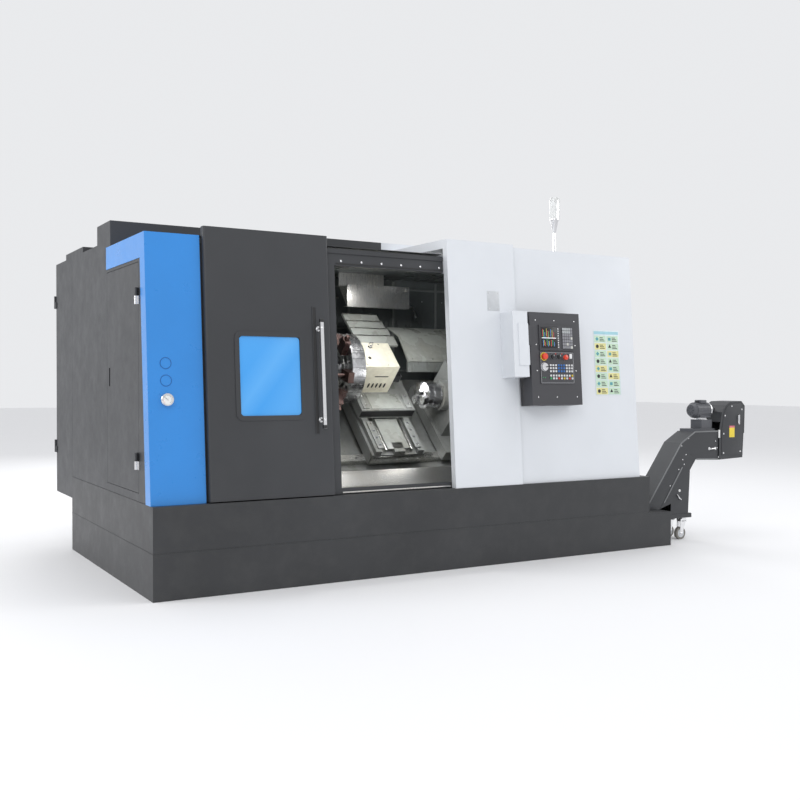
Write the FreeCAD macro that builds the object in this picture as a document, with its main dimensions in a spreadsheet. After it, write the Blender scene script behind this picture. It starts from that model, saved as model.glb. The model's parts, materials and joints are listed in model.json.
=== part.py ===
import FreeCAD, Part
import os
import re
import Sketcher

# CNC turning lathe: slant-bed machine in a sheet-metal enclosure, with a chip conveyor at its right end.
# All lengths are in millimetres. The working axes start at the front left corner of the base, with X along
# the front, Y to the back and Z up; every node is then shifted so that the origin is the centre of the
# base's footprint on the floor.

SIZES = {
    # base
    "base_length": 4110,
    "base_depth": 2090,
    "base_height": 550,
    "base_wall": 15,
    "step_length": 230,
    "step_height": 265,
    "deck_lip": 130,
    # enclosure
    "skin": 4,
    "side_skin": 8,
    "lean_slope": 0.08,
    "cover_width": 336,
    "cover_front": 45,
    "cover_top": 2156,
    "cover_band": 146,
    "cover_strip": 100,
    "cover_depth": 1054,
    "beam_front": 960,
    "beam_depth": 350,
    "beam_bottom": 2126,
    "beam_height": 200,
    "beam_split": 2035,
    "rear_top": 2200,
    "cabinet_length": 1594,
    "cabinet_depth": 560,
    "cabinet_bottom": 387,
    "cabinet_skin": 5,
    "door_skin": 12,
    "hinge_radius": 10,
    "hinge_length": 50,
    "gap": 0.3,
    "fit_gap": 0.05,
    # sliding door
    "slide_left": 348,
    "slide_width": 834,
    "slide_front": 12,
    "slide_depth": 42,
    "slide_height": 1660,
    "window_left": 192,
    "window_bottom": 500,
    "window_width": 440,
    "window_height": 525,
    "pane": 8,
    # hood and right cover
    "hood_left": 2092,
    "hood_width": 571,
    "hood_front": 5,
    "hood_top": 2262,
    "hood_roof": 62,
    "hood_flange": 50,
    "right_end": 3800,
    "right_front": 25,
    "right_top": 2244,
    # spindle line and slant bed
    "slant_angle": 45,
    "spindle_depth": 800,
    "spindle_height": 1174,
    "bed_drop": 350,
    "rail_height": 45,
    "rail_width": 60,
    "rail_spread": 600,
    "bed_left": 560,
    "bed_length": 2740,
    "bed_wall": 55,
    "head_left": 600,
    "head_length": 480,
    "spindle_radius": 60,
    "chuck_radius": 157,
    "chuck_length": 130,
    "jaw_travel": 6,
    "saddle_left": 1830,
    "saddle_width": 450,
    "saddle_height": 100,
    "slide_plate": 85,
    "turret_offset": 283,
    "turret_radius": 256,
    "turret_left": 1684,
    "turret_width": 110,
    "station_count": 12,
    "housing_width": 295,
    "sub_left": 2310,
    "sub_radius": 102,
    "sub_length": 115,
    "wall_depth": 1600,
    # control panel
    "bracket_left": 2522,
    "bracket_width": 128,
    "bracket_depth": 145,
    "bracket_bottom": 754,
    "bracket_height": 462,
    "panel_left": 2685,
    "panel_width": 454,
    "panel_bottom": 555,
    "panel_height": 662,
    "panel_front": 117,
    "panel_back": 17,
    "panel_tilt": 0,
    "pin_offset": 22,
    # signal lamp
    "lamp_left": 3497,
    "lamp_depth": 700,
    "lamp_radius": 42,
    "lens_height": 177,
    # chip conveyor
    "trough_front": 150,
    "trough_width": 190,
    "trough_skin": 4,
    "button_travel": 5,
    "caster_radius": 50,
    "caster_width": 28,
    "caster_trail": 30,
}

V = FreeCAD.Vector
doc = FreeCAD.newDocument("cnc_turning_lathe")
sheet = doc.addObject("Spreadsheet::Sheet", "sizes")
finished = []


def fill_sheet():
    """Write the driving dimensions, each with its name as the alias."""
    for row, (name, value) in enumerate(SIZES.items(), 1):
        sheet.set("A%d" % row, name)
        sheet.set("B%d" % row, "%g" % value)
        sheet.setAlias("B%d" % row, name)
    doc.recompute()


def formula(text):
    """A formula that may name driving dimensions, as the sheet's cells."""
    def cell(found):
        word = found.group()
        return "sizes." + word if word in SIZES else word
    return re.sub(r"[a-z][a-z_0-9]*", cell, str(text))


def place(item, spot, axis=None, angle=0):
    """Put an object at a spot given by three formulas, turned about an axis."""
    if axis is not None:
        item.Placement = FreeCAD.Placement(V(), FreeCAD.Rotation(V(*axis), 1))
        item.setExpression(".Placement.Rotation.Angle", formula(angle))
    for letter, text in zip("xyz", spot):
        item.setExpression(".Placement.Base." + letter, formula(text))
    return item


def box(name, spot, size):
    """A block with its lowest corner at spot."""
    block = doc.addObject("Part::Box", name)
    for side, text in zip(("Length", "Width", "Height"), size):
        block.setExpression(side, formula(text))
    return place(block, spot)


TURNS = {"x": ((0, 1, 0), 90), "y": ((1, 0, 0), -90), "z": (None, 0)}


def rod(name, spot, radius, length, along="z"):
    """A cylinder from spot towards +X, +Y or +Z."""
    bar = doc.addObject("Part::Cylinder", name)
    bar.setExpression("Radius", formula(radius))
    bar.setExpression("Height", formula(length))
    return place(bar, spot, *TURNS[along])


def cone(name, spot, low, high, length, along="z"):
    """A cone from spot towards +X, +Y or +Z."""
    taper = doc.addObject("Part::Cone", name)
    taper.setExpression("Radius1", formula(low))
    taper.setExpression("Radius2", formula(high))
    taper.setExpression("Height", formula(length))
    return place(taper, spot, *TURNS[along])


def cut(name, base, *tools):
    """The base with the tools taken away."""
    result = doc.addObject("Part::Cut", name)
    result.Base = base
    result.Tool = tools[0] if len(tools) == 1 else fuse(name + "_tools", *tools)
    return result


def fuse(name, *pieces):
    """The pieces joined into one."""
    result = doc.addObject("Part::MultiFuse", name)
    result.Shapes = list(pieces)
    return result


def group(name, pieces, spot=("0", "0", "0"), axis=None, angle=0):
    """Several pieces placed together, each staying a solid of its own."""
    result = doc.addObject("Part::Compound", name)
    result.Links = list(pieces)
    return place(result, spot, axis, angle)


def outline(name, body, plane, points):
    """A closed sketch through points, each coordinate bound to its formula."""
    sketch = body.newObject("Sketcher::SketchObject", name + "_sketch")
    support = [part for part in body.Origin.OriginFeatures if part.Role == plane]
    sketch.AttachmentSupport = [(support[0], "")]
    sketch.MapMode = "FlatFace"
    values = [[worked_out(text) for text in point] for point in points]
    count = len(points)
    for at in range(count):
        start = V(values[at][0], values[at][1], 0)
        end = V(values[(at + 1) % count][0], values[(at + 1) % count][1], 0)
        sketch.addGeometry(Part.LineSegment(start, end), False)
    for at in range(count):
        sketch.addConstraint(Sketcher.Constraint("Coincident", at, 2, (at + 1) % count, 1))
    for at in range(count):
        for kind, value, text in zip(("DistanceX", "DistanceY"), values[at], points[at]):
            number = sketch.addConstraint(Sketcher.Constraint(kind, -1, 1, at, 1, value))
            sketch.setExpression("Constraints[%d]" % number, formula(text))
    return sketch


def worked_out(text):
    """The present value of a formula."""
    value = sheet.evalExpression(formula(text))
    return float(getattr(value, "Value", value))


def profile(name, plane, points, start, length):
    """An outline in the XZ or YZ plane, extruded from start towards +Y or +X."""
    body = doc.addObject("PartDesign::Body", name)
    sketch = outline(name, body, plane, points)
    pad = body.newObject("PartDesign::Pad", name + "_pad")
    pad.Profile = sketch
    pad.setExpression("Length", formula(length))
    pad.Reversed = plane == "XZ_Plane"
    spot = ("0", start, "0") if plane == "XZ_Plane" else (start, "0", "0")
    return place(body, spot)


def turned(name, points, spot, along="z"):
    """A turned piece: points are (radius, height) along its axis."""
    body = doc.addObject("PartDesign::Body", name)
    sketch = outline(name, body, "XZ_Plane", points)
    spin = body.newObject("PartDesign::Revolution", name + "_turn")
    spin.Profile = sketch
    spin.ReferenceAxis = (sketch, ["V_Axis"])
    spin.Angle = 360
    return place(body, spot, *TURNS[along])


def finish(label, *pieces, frame="floor"):
    """Make the pieces one node, set in the floor, leaning-front or slant-bed frame."""
    node = doc.addObject("Part::Compound", label)
    node.Label = label
    node.Links = list(pieces)
    middle = ("-base_length / 2", "-base_depth / 2", "0")
    if frame == "floor":
        place(node, middle)
    if frame == "front":
        place(node, (middle[0], middle[1], "base_height"), (1, 0, 0), "-atan(lean_slope)")
    if frame == "slant":
        spot = (middle[0], "spindle_depth - base_depth / 2", "spindle_height")
        place(node, spot, (1, 0, 0), "slant_angle")
    finished.append(node)
    return node


def leaning(front, height):
    """How far back a leaning front face is at a height above the floor."""
    return "(%s) + ((%s) - base_height) * lean_slope" % (front, height)


# Base

def base_tub():
    """Folded tray: high part, low step at the right end, deck lips round an open top."""
    high = "base_length - step_length"
    shell = profile("base_outer", "XZ_Plane", [
        ("0", "0"), ("base_length", "0"), ("base_length", "step_height"),
        (high, "step_height"), (high, "base_height"), ("0", "base_height"),
    ], "0", "base_depth")
    inside = "base_depth - 2 * base_wall"
    hollow = box("base_hollow", ("base_wall", "base_wall", "base_wall"),
                 (high + " - 2 * base_wall", inside, "base_height - 2 * base_wall"))
    top_hole = box("base_top_hole", ("deck_lip", "deck_lip", "base_height - 2 * base_wall"),
                   (high + " - 2 * deck_lip", "base_depth - 2 * deck_lip", "3 * base_wall"))
    step_hollow = box("step_hollow", (high + " - 2 * base_wall", "base_wall", "base_wall"),
                      ("step_length + base_wall", inside, "step_height - 2 * base_wall"))
    slot_front = "trough_front - 10"
    slot = box("conveyor_slot", (high + " - 2 * base_wall", slot_front, "base_wall"),
               ("step_length + base_wall", "trough_width + 20", "base_height - 3 * base_wall"))
    notch = box("conveyor_notch", ("base_length - base_wall - 1", slot_front, "200"),
                ("base_wall + 2", "trough_width + 20", "100"))
    finish("base_tub", cut("base_cut", shell, hollow, top_hole, step_hollow, slot, notch))


def bed_point(along, out):
    """A point of the slant bed in the depth and height plane."""
    depth = "spindle_depth + (%s) * cos(slant_angle) - (%s) * sin(slant_angle)" % (along, out)
    height = "spindle_height + (%s) * sin(slant_angle) + (%s) * cos(slant_angle)" % (along, out)
    return depth, height


BED_FACE = "-(bed_drop + rail_height)"
BED_LOW = "-rail_spread / 2 - 120"
BED_HIGH = "rail_spread / 2 + 260"


def slant_bed():
    """Cast bed: a slanting face for the ways, hollow from end to end."""
    low = bed_point(BED_LOW, BED_FACE)
    high = bed_point(BED_HIGH, BED_FACE)
    back = high[0] + " + 85"
    outer = profile("bed_outer", "YZ_Plane", [
        low, high, (back, high[1]), (back, "base_wall"),
        (low[0] + " - 60", "base_wall"), (low[0] + " - 60", low[1] + " - 60"),
    ], "bed_left", "bed_length")
    low_in = bed_point(BED_LOW + " + 30", BED_FACE + " - bed_wall")
    high_in = bed_point(BED_HIGH + " - 30", BED_FACE + " - bed_wall")
    inner = profile("bed_inner", "YZ_Plane", [
        low_in, high_in, (back + " - bed_wall", high_in[1]),
        (back + " - bed_wall", "base_wall + bed_wall"),
        (low_in[0], "base_wall + bed_wall"),
    ], "bed_left - 10", "bed_length + 20")
    finish("slant_bed", cut("bed_cut", outer, inner))


def bed_rails():
    """Two hardened linear ways bolted along the slanting face."""
    start = "head_left + head_length + 60"
    length = "bed_left + bed_length - 50 - (%s)" % start
    rails = []
    for side in (-1, 1):
        along = "%d * rail_spread / 2 - rail_width / 2" % side
        rails.append(box("rail", (start, along, BED_FACE), (length, "rail_width", "rail_height")))
    finish("bed_rails", *rails, frame="slant")


# Main spindle

def headstock():
    """Cast housing round the main spindle, standing on the slanting face."""
    low = bed_point("-270", BED_FACE)
    high = bed_point("290", BED_FACE)
    block = profile("head_outer", "YZ_Plane", [
        low, high, (high[0], "spindle_height + 280"),
        ("spindle_depth - 170", "spindle_height + 280"),
        ("spindle_depth - 240", "spindle_height + 210"),
        ("spindle_depth - 240", "spindle_height - 250"),
    ], "head_left", "head_length")
    bore = rod("head_bore", ("head_left - 5", "spindle_depth", "spindle_height"),
               "spindle_radius + fit_gap", "head_length + 10", "x")
    finish("headstock", cut("head_cut", block, bore))


def spindle_motor():
    """Spindle motor on the headstock's left face, with the spindle's tail running into it."""
    length = "240"
    start = "head_left - " + length
    casing = rod("motor_casing", (start, "spindle_depth", "spindle_height"), "175", length, "x")
    flange = rod("motor_flange", ("head_left - 25", "spindle_depth", "spindle_height"),
                 "205", "25", "x")
    bore = rod("motor_bore", ("head_left - 200", "spindle_depth", "spindle_height"),
               "spindle_radius + fit_gap", "205", "x")
    finish("spindle_motor", cut("motor_cut", fuse("motor_body", casing, flange), bore))


def main_spindle():
    """Hollow spindle with its nose flange."""
    at = ("head_left - 180", "spindle_depth", "spindle_height")
    nose = "head_length + 180 + 12"
    shaft = turned("main_spindle_turned", [
        ("26", "0"), ("spindle_radius", "0"), ("spindle_radius", nose + " - 10"),
        ("spindle_radius + 45", nose + " - 10"), ("spindle_radius + 45", nose + " + 8"),
        ("26", nose + " + 8"),
    ], at, "x")
    finish("main_spindle", shaft)


MAIN_FACE = "head_left + head_length + 20"


def jaw_slots(name, start, radius, length):
    """Three radial tee slots in a chuck's face."""
    slots = []
    for turn in range(3):
        slot = box(name + "_slot", ("0", "-20", "%s * 0.2" % radius),
                   ("%s * 0.45" % length, "40", radius))
        slots.append(group(name + "_slot_turned", [slot],
                           (start, "spindle_depth", "spindle_height"), (1, 0, 0), 120 * turn))
    return slots


def chuck(name, start, radius, length, mouth, left):
    """Round chuck body with a centre hole; the slots open towards the work."""
    body = rod(name + "_body", (start, "spindle_depth", "spindle_height"), radius, length, "x")
    hole = rod(name + "_hole", ("(%s) - 5" % start, "spindle_depth", "spindle_height"),
               mouth, "(%s) + 10" % length, "x")
    slot_start = "(%s) - 0.1" % start if left else "(%s) + (%s) * 0.55 + 0.1" % (start, length)
    tools = jaw_slots(name, slot_start, radius, length)
    finish(name, cut(name + "_cut", body, hole, *tools))


def jaw(name, turn, start, radius, length, left):
    """One chuck jaw: a master in its slot and a stepped top jaw in front of the face."""
    low = "(%s) * 0.2 + 8" % radius
    reach = "(%s) * 0.72 - jaw_travel" % radius
    depth = "(%s) * 0.45" % length
    if left:
        master = box(name + "_master", ("(%s) - 40" % start, "-20 + gap", low),
                     (depth + " + 40 - gap", "40 - 2 * gap", reach))
        step = box(name + "_step", ("(%s) - 40" % start, "-28", "(%s) + 18" % low),
                   ("39", "56", "(%s) - 18" % reach))
    else:
        back = "(%s) + (%s) - %s + gap" % (start, length, depth)
        master = box(name + "_master", (back, "-20 + gap", low),
                     (depth + " + 50 - gap", "40 - 2 * gap", reach))
        step = box(name + "_step", ("(%s) + (%s) + 1" % (start, length), "-30", "(%s) + 22" % low),
                   ("49", "60", "(%s) - 22" % reach))
    turned_jaw = group(name + "_turned", [fuse(name + "_body", master, step)],
                       ("0", "spindle_depth", "spindle_height"), (1, 0, 0), 120 * turn)
    finish(name, turned_jaw)


def main_chuck():
    """Three-jaw power chuck on the main spindle."""
    chuck("main_chuck", MAIN_FACE, "chuck_radius", "chuck_length", "45", False)
    for turn in range(3):
        jaw("main_jaw_%d" % (turn + 1), turn, MAIN_FACE, "chuck_radius", "chuck_length", False)


# Saddle, cross slide and turret

def saddle():
    """Saddle plate on the ways, with two guides for the cross slide on top."""
    low = "-rail_spread / 2 - 70"
    length = "rail_spread + 330"
    bottom = "-bed_drop + gap"
    height = "saddle_height - gap"
    plate = box("saddle_plate", ("saddle_left", low, bottom), ("saddle_width", length, height))
    top = "-bed_drop + saddle_height"
    guides = []
    for start in ("saddle_left + 20", "saddle_left + saddle_width - 70"):
        guides.append(box("cross_guide", (start, low, top + " - 1"), ("50", length, "41")))
    screw_house = box("screw_house", ("saddle_left + saddle_width / 2 - 45", low, top + " - 1"),
                      ("90", "90", "36"))
    finish("saddle", fuse("saddle_body", plate, screw_house, *guides), frame="slant")


CROSS_BOTTOM = "-bed_drop + saddle_height + 40 + gap"
CROSS_TOP = "-bed_drop + saddle_height + 40 + slide_plate"


def cross_slide():
    """Plate that carries the turret up and down the slant, with its rear motor cover."""
    plate = box("cross_plate", ("saddle_left - 6", "-35", CROSS_BOTTOM),
                ("saddle_width + 12", "turret_offset + 250", "slide_plate - gap"))
    cover_start = "turret_offset + housing_width / 2 - 17 + 1"
    cover = box("cross_cover", ("saddle_left + 30", cover_start, CROSS_TOP + " - 1"),
                ("saddle_width - 90", "190", "120"))
    finish("cross_slide", fuse("cross_body", plate, cover), frame="slant")


def turret_housing():
    """Turret gearbox housing with a neck towards the disc."""
    start = "turret_left + turret_width + 36"
    low = "turret_offset - housing_width / 2 + 17"
    height = "270"
    block = box("housing_block", (start, low, CROSS_TOP),
                ("housing_width", "housing_width - 35", height))
    edges = [(number, 12, 12) for number in (5, 6, 7, 8)]
    soft = doc.addObject("Part::Chamfer", "housing_soft")
    soft.Base = block
    soft.Edges = edges
    neck = rod("housing_neck", ("turret_left + turret_width + 0.3", "turret_offset", "0"),
               "120", "60", "x")
    finish("turret_housing", fuse("housing_body", soft, neck), frame="slant")


def turret_disc():
    """Twelve-station disc with flats round its rim."""
    disc = rod("disc_round", ("turret_left", "turret_offset", "0"),
               "turret_radius", "turret_width", "x")
    face = rod("disc_face", ("turret_left - 14", "turret_offset", "0"), "92", "20", "x")
    holes = []
    for station in range(int(SIZES["station_count"])):
        hole = rod("station_hole", ("-20", "0", "turret_radius - 45"), "20", "turret_width + 40", "x")
        holes.append(group("station_turned", [hole], ("turret_left", "turret_offset", "0"),
                           (1, 0, 0), "360 / station_count * %d" % station))
    body = cut("disc_body", fuse("disc_solid", disc, face), *holes)
    finish("turret_disc", body, frame="slant")


def tool_holders():
    """A holder block on every second station, with a square shank tool or a round tool in it."""
    blocks = []
    for station in range(0, int(SIZES["station_count"]), 2):
        block = box("holder_block", ("-46", "-38", "turret_radius - 88"), ("45.9", "76", "118"))
        if station % 4:
            tool = rod("holder_bar", ("-150", "0", "turret_radius - 45"), "15", "110", "x")
        else:
            tool = box("holder_shank", ("-38", "-12", "turret_radius + 28"), ("25", "25", "40"))
        made = fuse("holder", block, tool)
        blocks.append(group("holder_turned", [made], ("turret_left", "turret_offset", "0"),
                            (1, 0, 0), "360 / station_count * %d" % station))
    finish("tool_holders", *blocks, frame="slant")


# Sub spindle

def sub_spindle_body():
    """Second headstock on the ways, facing the main spindle."""
    start = "sub_left + sub_length + 85"
    bottom = "-bed_drop + gap"
    base = box("sub_base", (start + " - 30", "-rail_spread / 2 - 60", bottom),
               ("640", "rail_spread + 120", "90 - gap"))
    block = box("sub_block", (start, "-190", bottom), ("560", "380", "bed_drop + 190"))
    nose = rod("sub_nose", (start + " - 70", "0", "0"), "118", "80", "x")
    bore = rod("sub_bore", (start + " - 80", "0", "0"), "48 + fit_gap", "600", "x")
    body = cut("sub_cut", fuse("sub_solid", base, block, nose), bore)
    finish("sub_spindle_body", body, frame="slant")


def sub_chuck():
    """Chuck of the second spindle with its shaft, and its three jaws."""
    body = rod("sub_chuck_body", ("sub_left", "spindle_depth", "spindle_height"),
               "sub_radius", "sub_length", "x")
    shaft = rod("sub_shaft", ("sub_left + sub_length - 5", "spindle_depth", "spindle_height"),
                "48", "500", "x")
    flange = rod("sub_flange", ("sub_left + sub_length - 5", "spindle_depth", "spindle_height"),
                 "80", "12", "x")
    hole = rod("sub_hole", ("sub_left - 5", "spindle_depth", "spindle_height"), "26", "640", "x")
    tools = jaw_slots("sub_chuck", "sub_left - 0.1", "sub_radius", "sub_length")
    finish("sub_chuck", cut("sub_chuck_cut", fuse("sub_chuck_solid", body, flange, shaft), hole, *tools))
    for turn in range(3):
        jaw("sub_jaw_%d" % (turn + 1), turn, "sub_left", "sub_radius", "sub_length", True)


# Enclosure

def corner_cover():
    """Coloured corner: leaning front, strip and top band on the left side, and a short roof."""
    top_front = leaning("cover_front", "cover_top")
    band = "cover_top - cover_band"
    outer = profile("cover_outer", "YZ_Plane", [
        ("cover_front", "base_height"), (top_front, "cover_top"), ("cover_depth", "cover_top"),
        ("cover_depth", band), (leaning("cover_front + cover_strip", band), band),
        ("cover_front + cover_strip", "base_height"),
    ], "0", "skin")
    sheet_back = leaning("cover_front + skin", "cover_top - skin")
    front = profile("cover_sheet", "YZ_Plane", [
        ("cover_front", "base_height"), (top_front, "cover_top"), ("beam_front - 0.5", "cover_top"),
        ("beam_front - 0.5", "cover_top - skin"), (sheet_back, "cover_top - skin"),
        ("cover_front + skin", "base_height"),
    ], "0", "cover_width")
    finish("corner_cover", fuse("cover_body", outer, front))


def pressure_gauge():
    """Dial gauge let into the front of the coloured corner."""
    case = rod("gauge_case", ("110", "cover_front - 20.2", "622"), "38", "20", "y")
    finish("pressure_gauge", case, frame="front")


SIDE_OPENING = ("300", "600", "750", "1390")


def left_side_panel():
    """Left wall with the opening for the service door."""
    wall = profile("left_wall", "YZ_Plane", [
        ("cover_front + skin", "base_height"),
        ("base_depth - skin", "base_height"), ("base_depth - skin", "rear_top - skin"),
        ("beam_front + beam_depth", "rear_top - skin"),
        ("beam_front + beam_depth", "beam_bottom"), ("beam_front - 1", "beam_bottom"),
        ("beam_front - 1", "cover_top - skin"),
        (leaning("cover_front + skin", "cover_top - skin"), "cover_top - skin"),
    ], "skin", "side_skin")
    depth, height, width, tall = SIDE_OPENING
    opening = box("left_opening", ("0", depth, height), ("side_skin + 20", width, tall))
    finish("left_side_panel", cut("left_cut", wall, opening))


def knuckles(name, spot, height, length, pin=False):
    """A hinge barrel, half of it on each leaf; the lower half carries the pin."""
    x, y = spot
    barrel = rod(name, (x, y, height), "hinge_radius", length)
    if not pin:
        hole = rod(name + "_hole", (x, y, "(%s) - 1" % height), "4 + fit_gap", "(%s) - 4" % length)
        return cut(name + "_drilled", barrel, hole)
    stud = rod(name + "_pin", (x, y, height), "4", "2 * (%s) - 10" % length)
    return fuse(name + "_pinned", barrel, stud)


def side_door():
    """Service door in the left wall, hung at its front edge, with a recessed pull."""
    depth, height, width, tall = SIDE_OPENING
    leaf = box("side_leaf", ("skin", depth + " + 3", height + " + 3"),
               ("door_skin", width + " - 6", tall + " - 6"))
    pull = box("side_pull", ("skin - 1", depth + " + 670", height + " + 640"), ("9", "30", "120"))
    pieces = []
    for start in ("745", "1735"):
        high = start + " + hinge_length + gap"
        pieces.append(knuckles("side_knuckle", ("-12", depth), high, "hinge_length - gap"))
        pieces.append(box("side_strap", ("-12 + hinge_radius - 3", depth + " + 4", high),
                          ("skin + 6", "30", "hinge_length - gap")))
    finish("side_door", fuse("side_body", cut("side_cut", leaf, pull), *pieces))


def side_door_hinges():
    """Fixed halves of the service door's hinges, with their pins."""
    hinges = []
    for start in ("745", "1735"):
        barrel = knuckles("side_fixed", ("-12", SIDE_OPENING[0]), start, "hinge_length", pin=True)
        strap = box("side_fixed_strap", ("-12 + hinge_radius - 3", SIDE_OPENING[0] + " - 34", start),
                    ("skin + 5", "30", "hinge_length"))
        bridge = box("side_fixed_bridge", ("-12", SIDE_OPENING[0] + " - 12", start),
                     ("hinge_radius", "10", "hinge_length"))
        hinges.append(fuse("side_hinge", barrel, strap, bridge))
    finish("side_door_hinges", *hinges)


CABINET_FRONT = "base_depth + 2"
CABINET_BACK = "base_depth + 2 + cabinet_depth"
CABINET_HINGE = CABINET_BACK + " + door_skin + hinge_radius + 1.5"


def electrical_cabinet():
    """Control cabinet hung behind the base, open at the back for its two doors."""
    height = "rear_top - cabinet_bottom"
    shell = box("cabinet_shell", ("skin", CABINET_FRONT, "cabinet_bottom"),
                ("cabinet_length", "cabinet_depth", height))
    inside = box("cabinet_inside",
                 ("skin + cabinet_skin", CABINET_FRONT + " + cabinet_skin",
                  "cabinet_bottom + cabinet_skin"),
                 ("cabinet_length - 2 * cabinet_skin", "cabinet_depth", height + " - 2 * cabinet_skin"))
    pieces = [cut("cabinet_cut", shell, inside)]
    hanger = box("cabinet_hanger", ("60", "base_depth", "base_height + 60"), ("1480", "2", "60"))
    pieces.append(hanger)
    for x in ("skin - 4", "skin + cabinet_length + 4"):
        for start in ("700", "1850"):
            pieces.append(knuckles("cab_fixed", (x, CABINET_HINGE), start, "hinge_length", pin=True))
            pieces.append(box("cab_bridge", (x + " - 4", CABINET_BACK + " - 20", start),
                              ("8", "31.5 + door_skin", "hinge_length")))
    finish("electrical_cabinet", fuse("cabinet_body", *pieces))


def cabinet_door(side):
    """One of the two cabinet doors, hung at its outer edge."""
    half = "cabinet_length / 2"
    left = side == "left"
    start = "skin + 1" if left else "skin + %s + 1" % half
    name = "cabinet_door_" + side
    leaf = box(name + "_leaf", (start, CABINET_BACK + " + 1", "cabinet_bottom + 2"),
               (half + " - 2", "door_skin", "rear_top - cabinet_bottom - 4"))
    pieces = [leaf]
    hinge = "skin - 4" if left else "skin + cabinet_length + 4"
    strap = "(%s) - 6" % hinge if left else "(%s) - 34" % hinge
    for low in ("700", "1850"):
        high = low + " + hinge_length + gap"
        pieces.append(knuckles("cab_knuckle", (hinge, CABINET_HINGE), high, "hinge_length - gap"))
        pieces.append(box("cab_strap", (strap, CABINET_BACK + " + door_skin + 0.5", high),
                          ("40", "4", "hinge_length - gap")))
    grip = "skin + %s - 60" % half if left else "skin + %s + 36" % half
    latch = box(name + "_latch", (grip, CABINET_BACK + " + door_skin", "1180"), ("24", "34", "150"))
    pieces.append(latch)
    finish(name, fuse(name + "_body", *pieces))


def top_beam():
    """Roof beam, a box tube closed at its left end, with the roof sheet in front of it."""
    tube = box("beam_tube", ("skin", "beam_front", "beam_bottom"),
               ("beam_split - skin", "beam_depth", "beam_height"))
    inside = box("beam_inside", ("2 * skin", "beam_front + skin", "beam_bottom + skin"),
                 ("beam_split", "beam_depth - 2 * skin", "beam_height - 2 * skin"))
    front = leaning("slide_front + slide_depth + 14", "base_height + 1600")
    roof = box("roof_sheet", ("cover_width + 2", front, "base_height + 1606"),
               ("hood_left - cover_width - 6", "beam_front - (%s)" % front, "skin"))
    finish("top_beam", fuse("beam_body", cut("beam_cut", tube, inside), roof))


def rear_shell():
    """Rear roof and rear wall, folded from one sheet."""
    back = "base_depth"
    front = "beam_front + beam_depth"
    sheet_metal = profile("rear_sheet", "YZ_Plane", [
        (front, "rear_top"), (back, "rear_top"), (back, "base_height"),
        (back + " - skin", "base_height"), (back + " - skin", "rear_top - skin"),
        (front, "rear_top - skin"),
    ], "skin", "right_end - skin")
    finish("rear_shell", sheet_metal)


def roof_box():
    """Flat filter box on the rear roof."""
    body = box("filter_body", ("skin", "1733", "rear_top"), ("1200", "561", "41"))
    inside = box("filter_inside", ("skin + 8", "1741", "rear_top - 5"), ("1184", "545", "40"))
    finish("roof_box", cut("filter_cut", body, inside))


def back_wall():
    """Inner wall behind the work area, with a light stainless sheet and a folded foot."""
    wall = box("inner_wall", ("520", "wall_depth", "900"), ("2960", "skin", "beam_bottom - 900"))
    roof = box("inner_roof", ("520", "beam_front + 10", "beam_bottom - skin"),
               ("2960", "wall_depth + skin - beam_front - 10", "skin"))
    finish("back_wall", fuse("inner_body", wall, roof))


def stainless_panel():
    """Bright deflector sheet hanging under the inner roof, above the turret."""
    sheet_metal = profile("deflector", "YZ_Plane", [
        ("1150", "1850"), ("1153", "1850"), ("1290", "2020"), ("1290", "beam_bottom - skin"),
        ("1287", "beam_bottom - skin"), ("1287", "2021"),
    ], "1844", "400")
    finish("stainless_panel", sheet_metal)


def chip_pan():
    """Sloping chip guard in front of the bed and the bright apron along the opening."""
    apron = profile("apron_sheet", "YZ_Plane", [
        ("108", "base_height"), ("108", "base_height + 4"), ("262", "base_height + 126"),
        ("292", "base_height + 126"), ("345", "base_height - 80"), ("341", "base_height - 81"),
        ("289", "base_height + 121"), ("264", "base_height + 121"), ("113", "base_height"),
    ], "slide_left + slide_width + 72", "2486")
    finish("chip_pan", apron)


def front_frame():
    """Fixed dark front: panel behind the parked door, header with the door track, and the sill."""
    plate = "slide_front + slide_depth + 8"
    opening_right = "hood_left"
    fixed = box("fixed_front", ("cover_width + 4", plate, "8"),
                ("slide_left + slide_width + 68 - cover_width - 4", "10", "1554"))
    edge = box("fixed_return", ("slide_left + slide_width + 58", plate, "12"), ("10", "70", "1550"))
    header = box("header", ("cover_width + 4", plate, "1492"),
                 (opening_right + " - cover_width - 4", "60", "112"))
    track = box("door_track", ("cover_width + 4", plate + " - 7", "1570"),
                (opening_right + " - cover_width - 4", "8", "26"))
    sill = box("door_sill", ("cover_width + 4", plate, "9"),
               (opening_right + " - cover_width - 4", "40", "36"))
    finish("front_frame", fuse("frame_body", fixed, edge, header, track, sill), frame="front")


# Sliding door

def door_shell():
    """Pressed door tray with a window opening and a hook over the track."""
    outer = box("door_outer", ("slide_left", "slide_front", "8"),
                ("slide_width", "slide_depth", "slide_height"))
    soft = doc.addObject("Part::Fillet", "door_soft")
    soft.Base = outer
    soft.Edges = [(1, 14, 14), (5, 14, 14)]
    hollow = box("door_hollow", ("slide_left + skin", "slide_front + skin", "8 + skin"),
                 ("slide_width - 2 * skin", "slide_depth", "slide_height - 2 * skin"))
    window = box("door_opening", ("slide_left + window_left", "slide_front - 5", "window_bottom"),
                 ("window_width", "slide_depth", "window_height"))
    runner = box("door_runner", ("slide_left + 40", "slide_front + skin - 1", "1596.3"),
                 ("slide_width - 80", "slide_depth + 1", "10"))
    finish("door_shell", fuse("door_body", cut("door_cut", soft, hollow, window), runner), frame="front")


def door_window():
    """Laminated pane held behind the door's skin by its frame."""
    pane = box("pane_body", ("slide_left + window_left - 14", "slide_front + skin", "window_bottom - 14"),
               ("window_width + 28", "pane", "window_height + 28"))
    finish("door_window", pane, frame="front")


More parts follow.
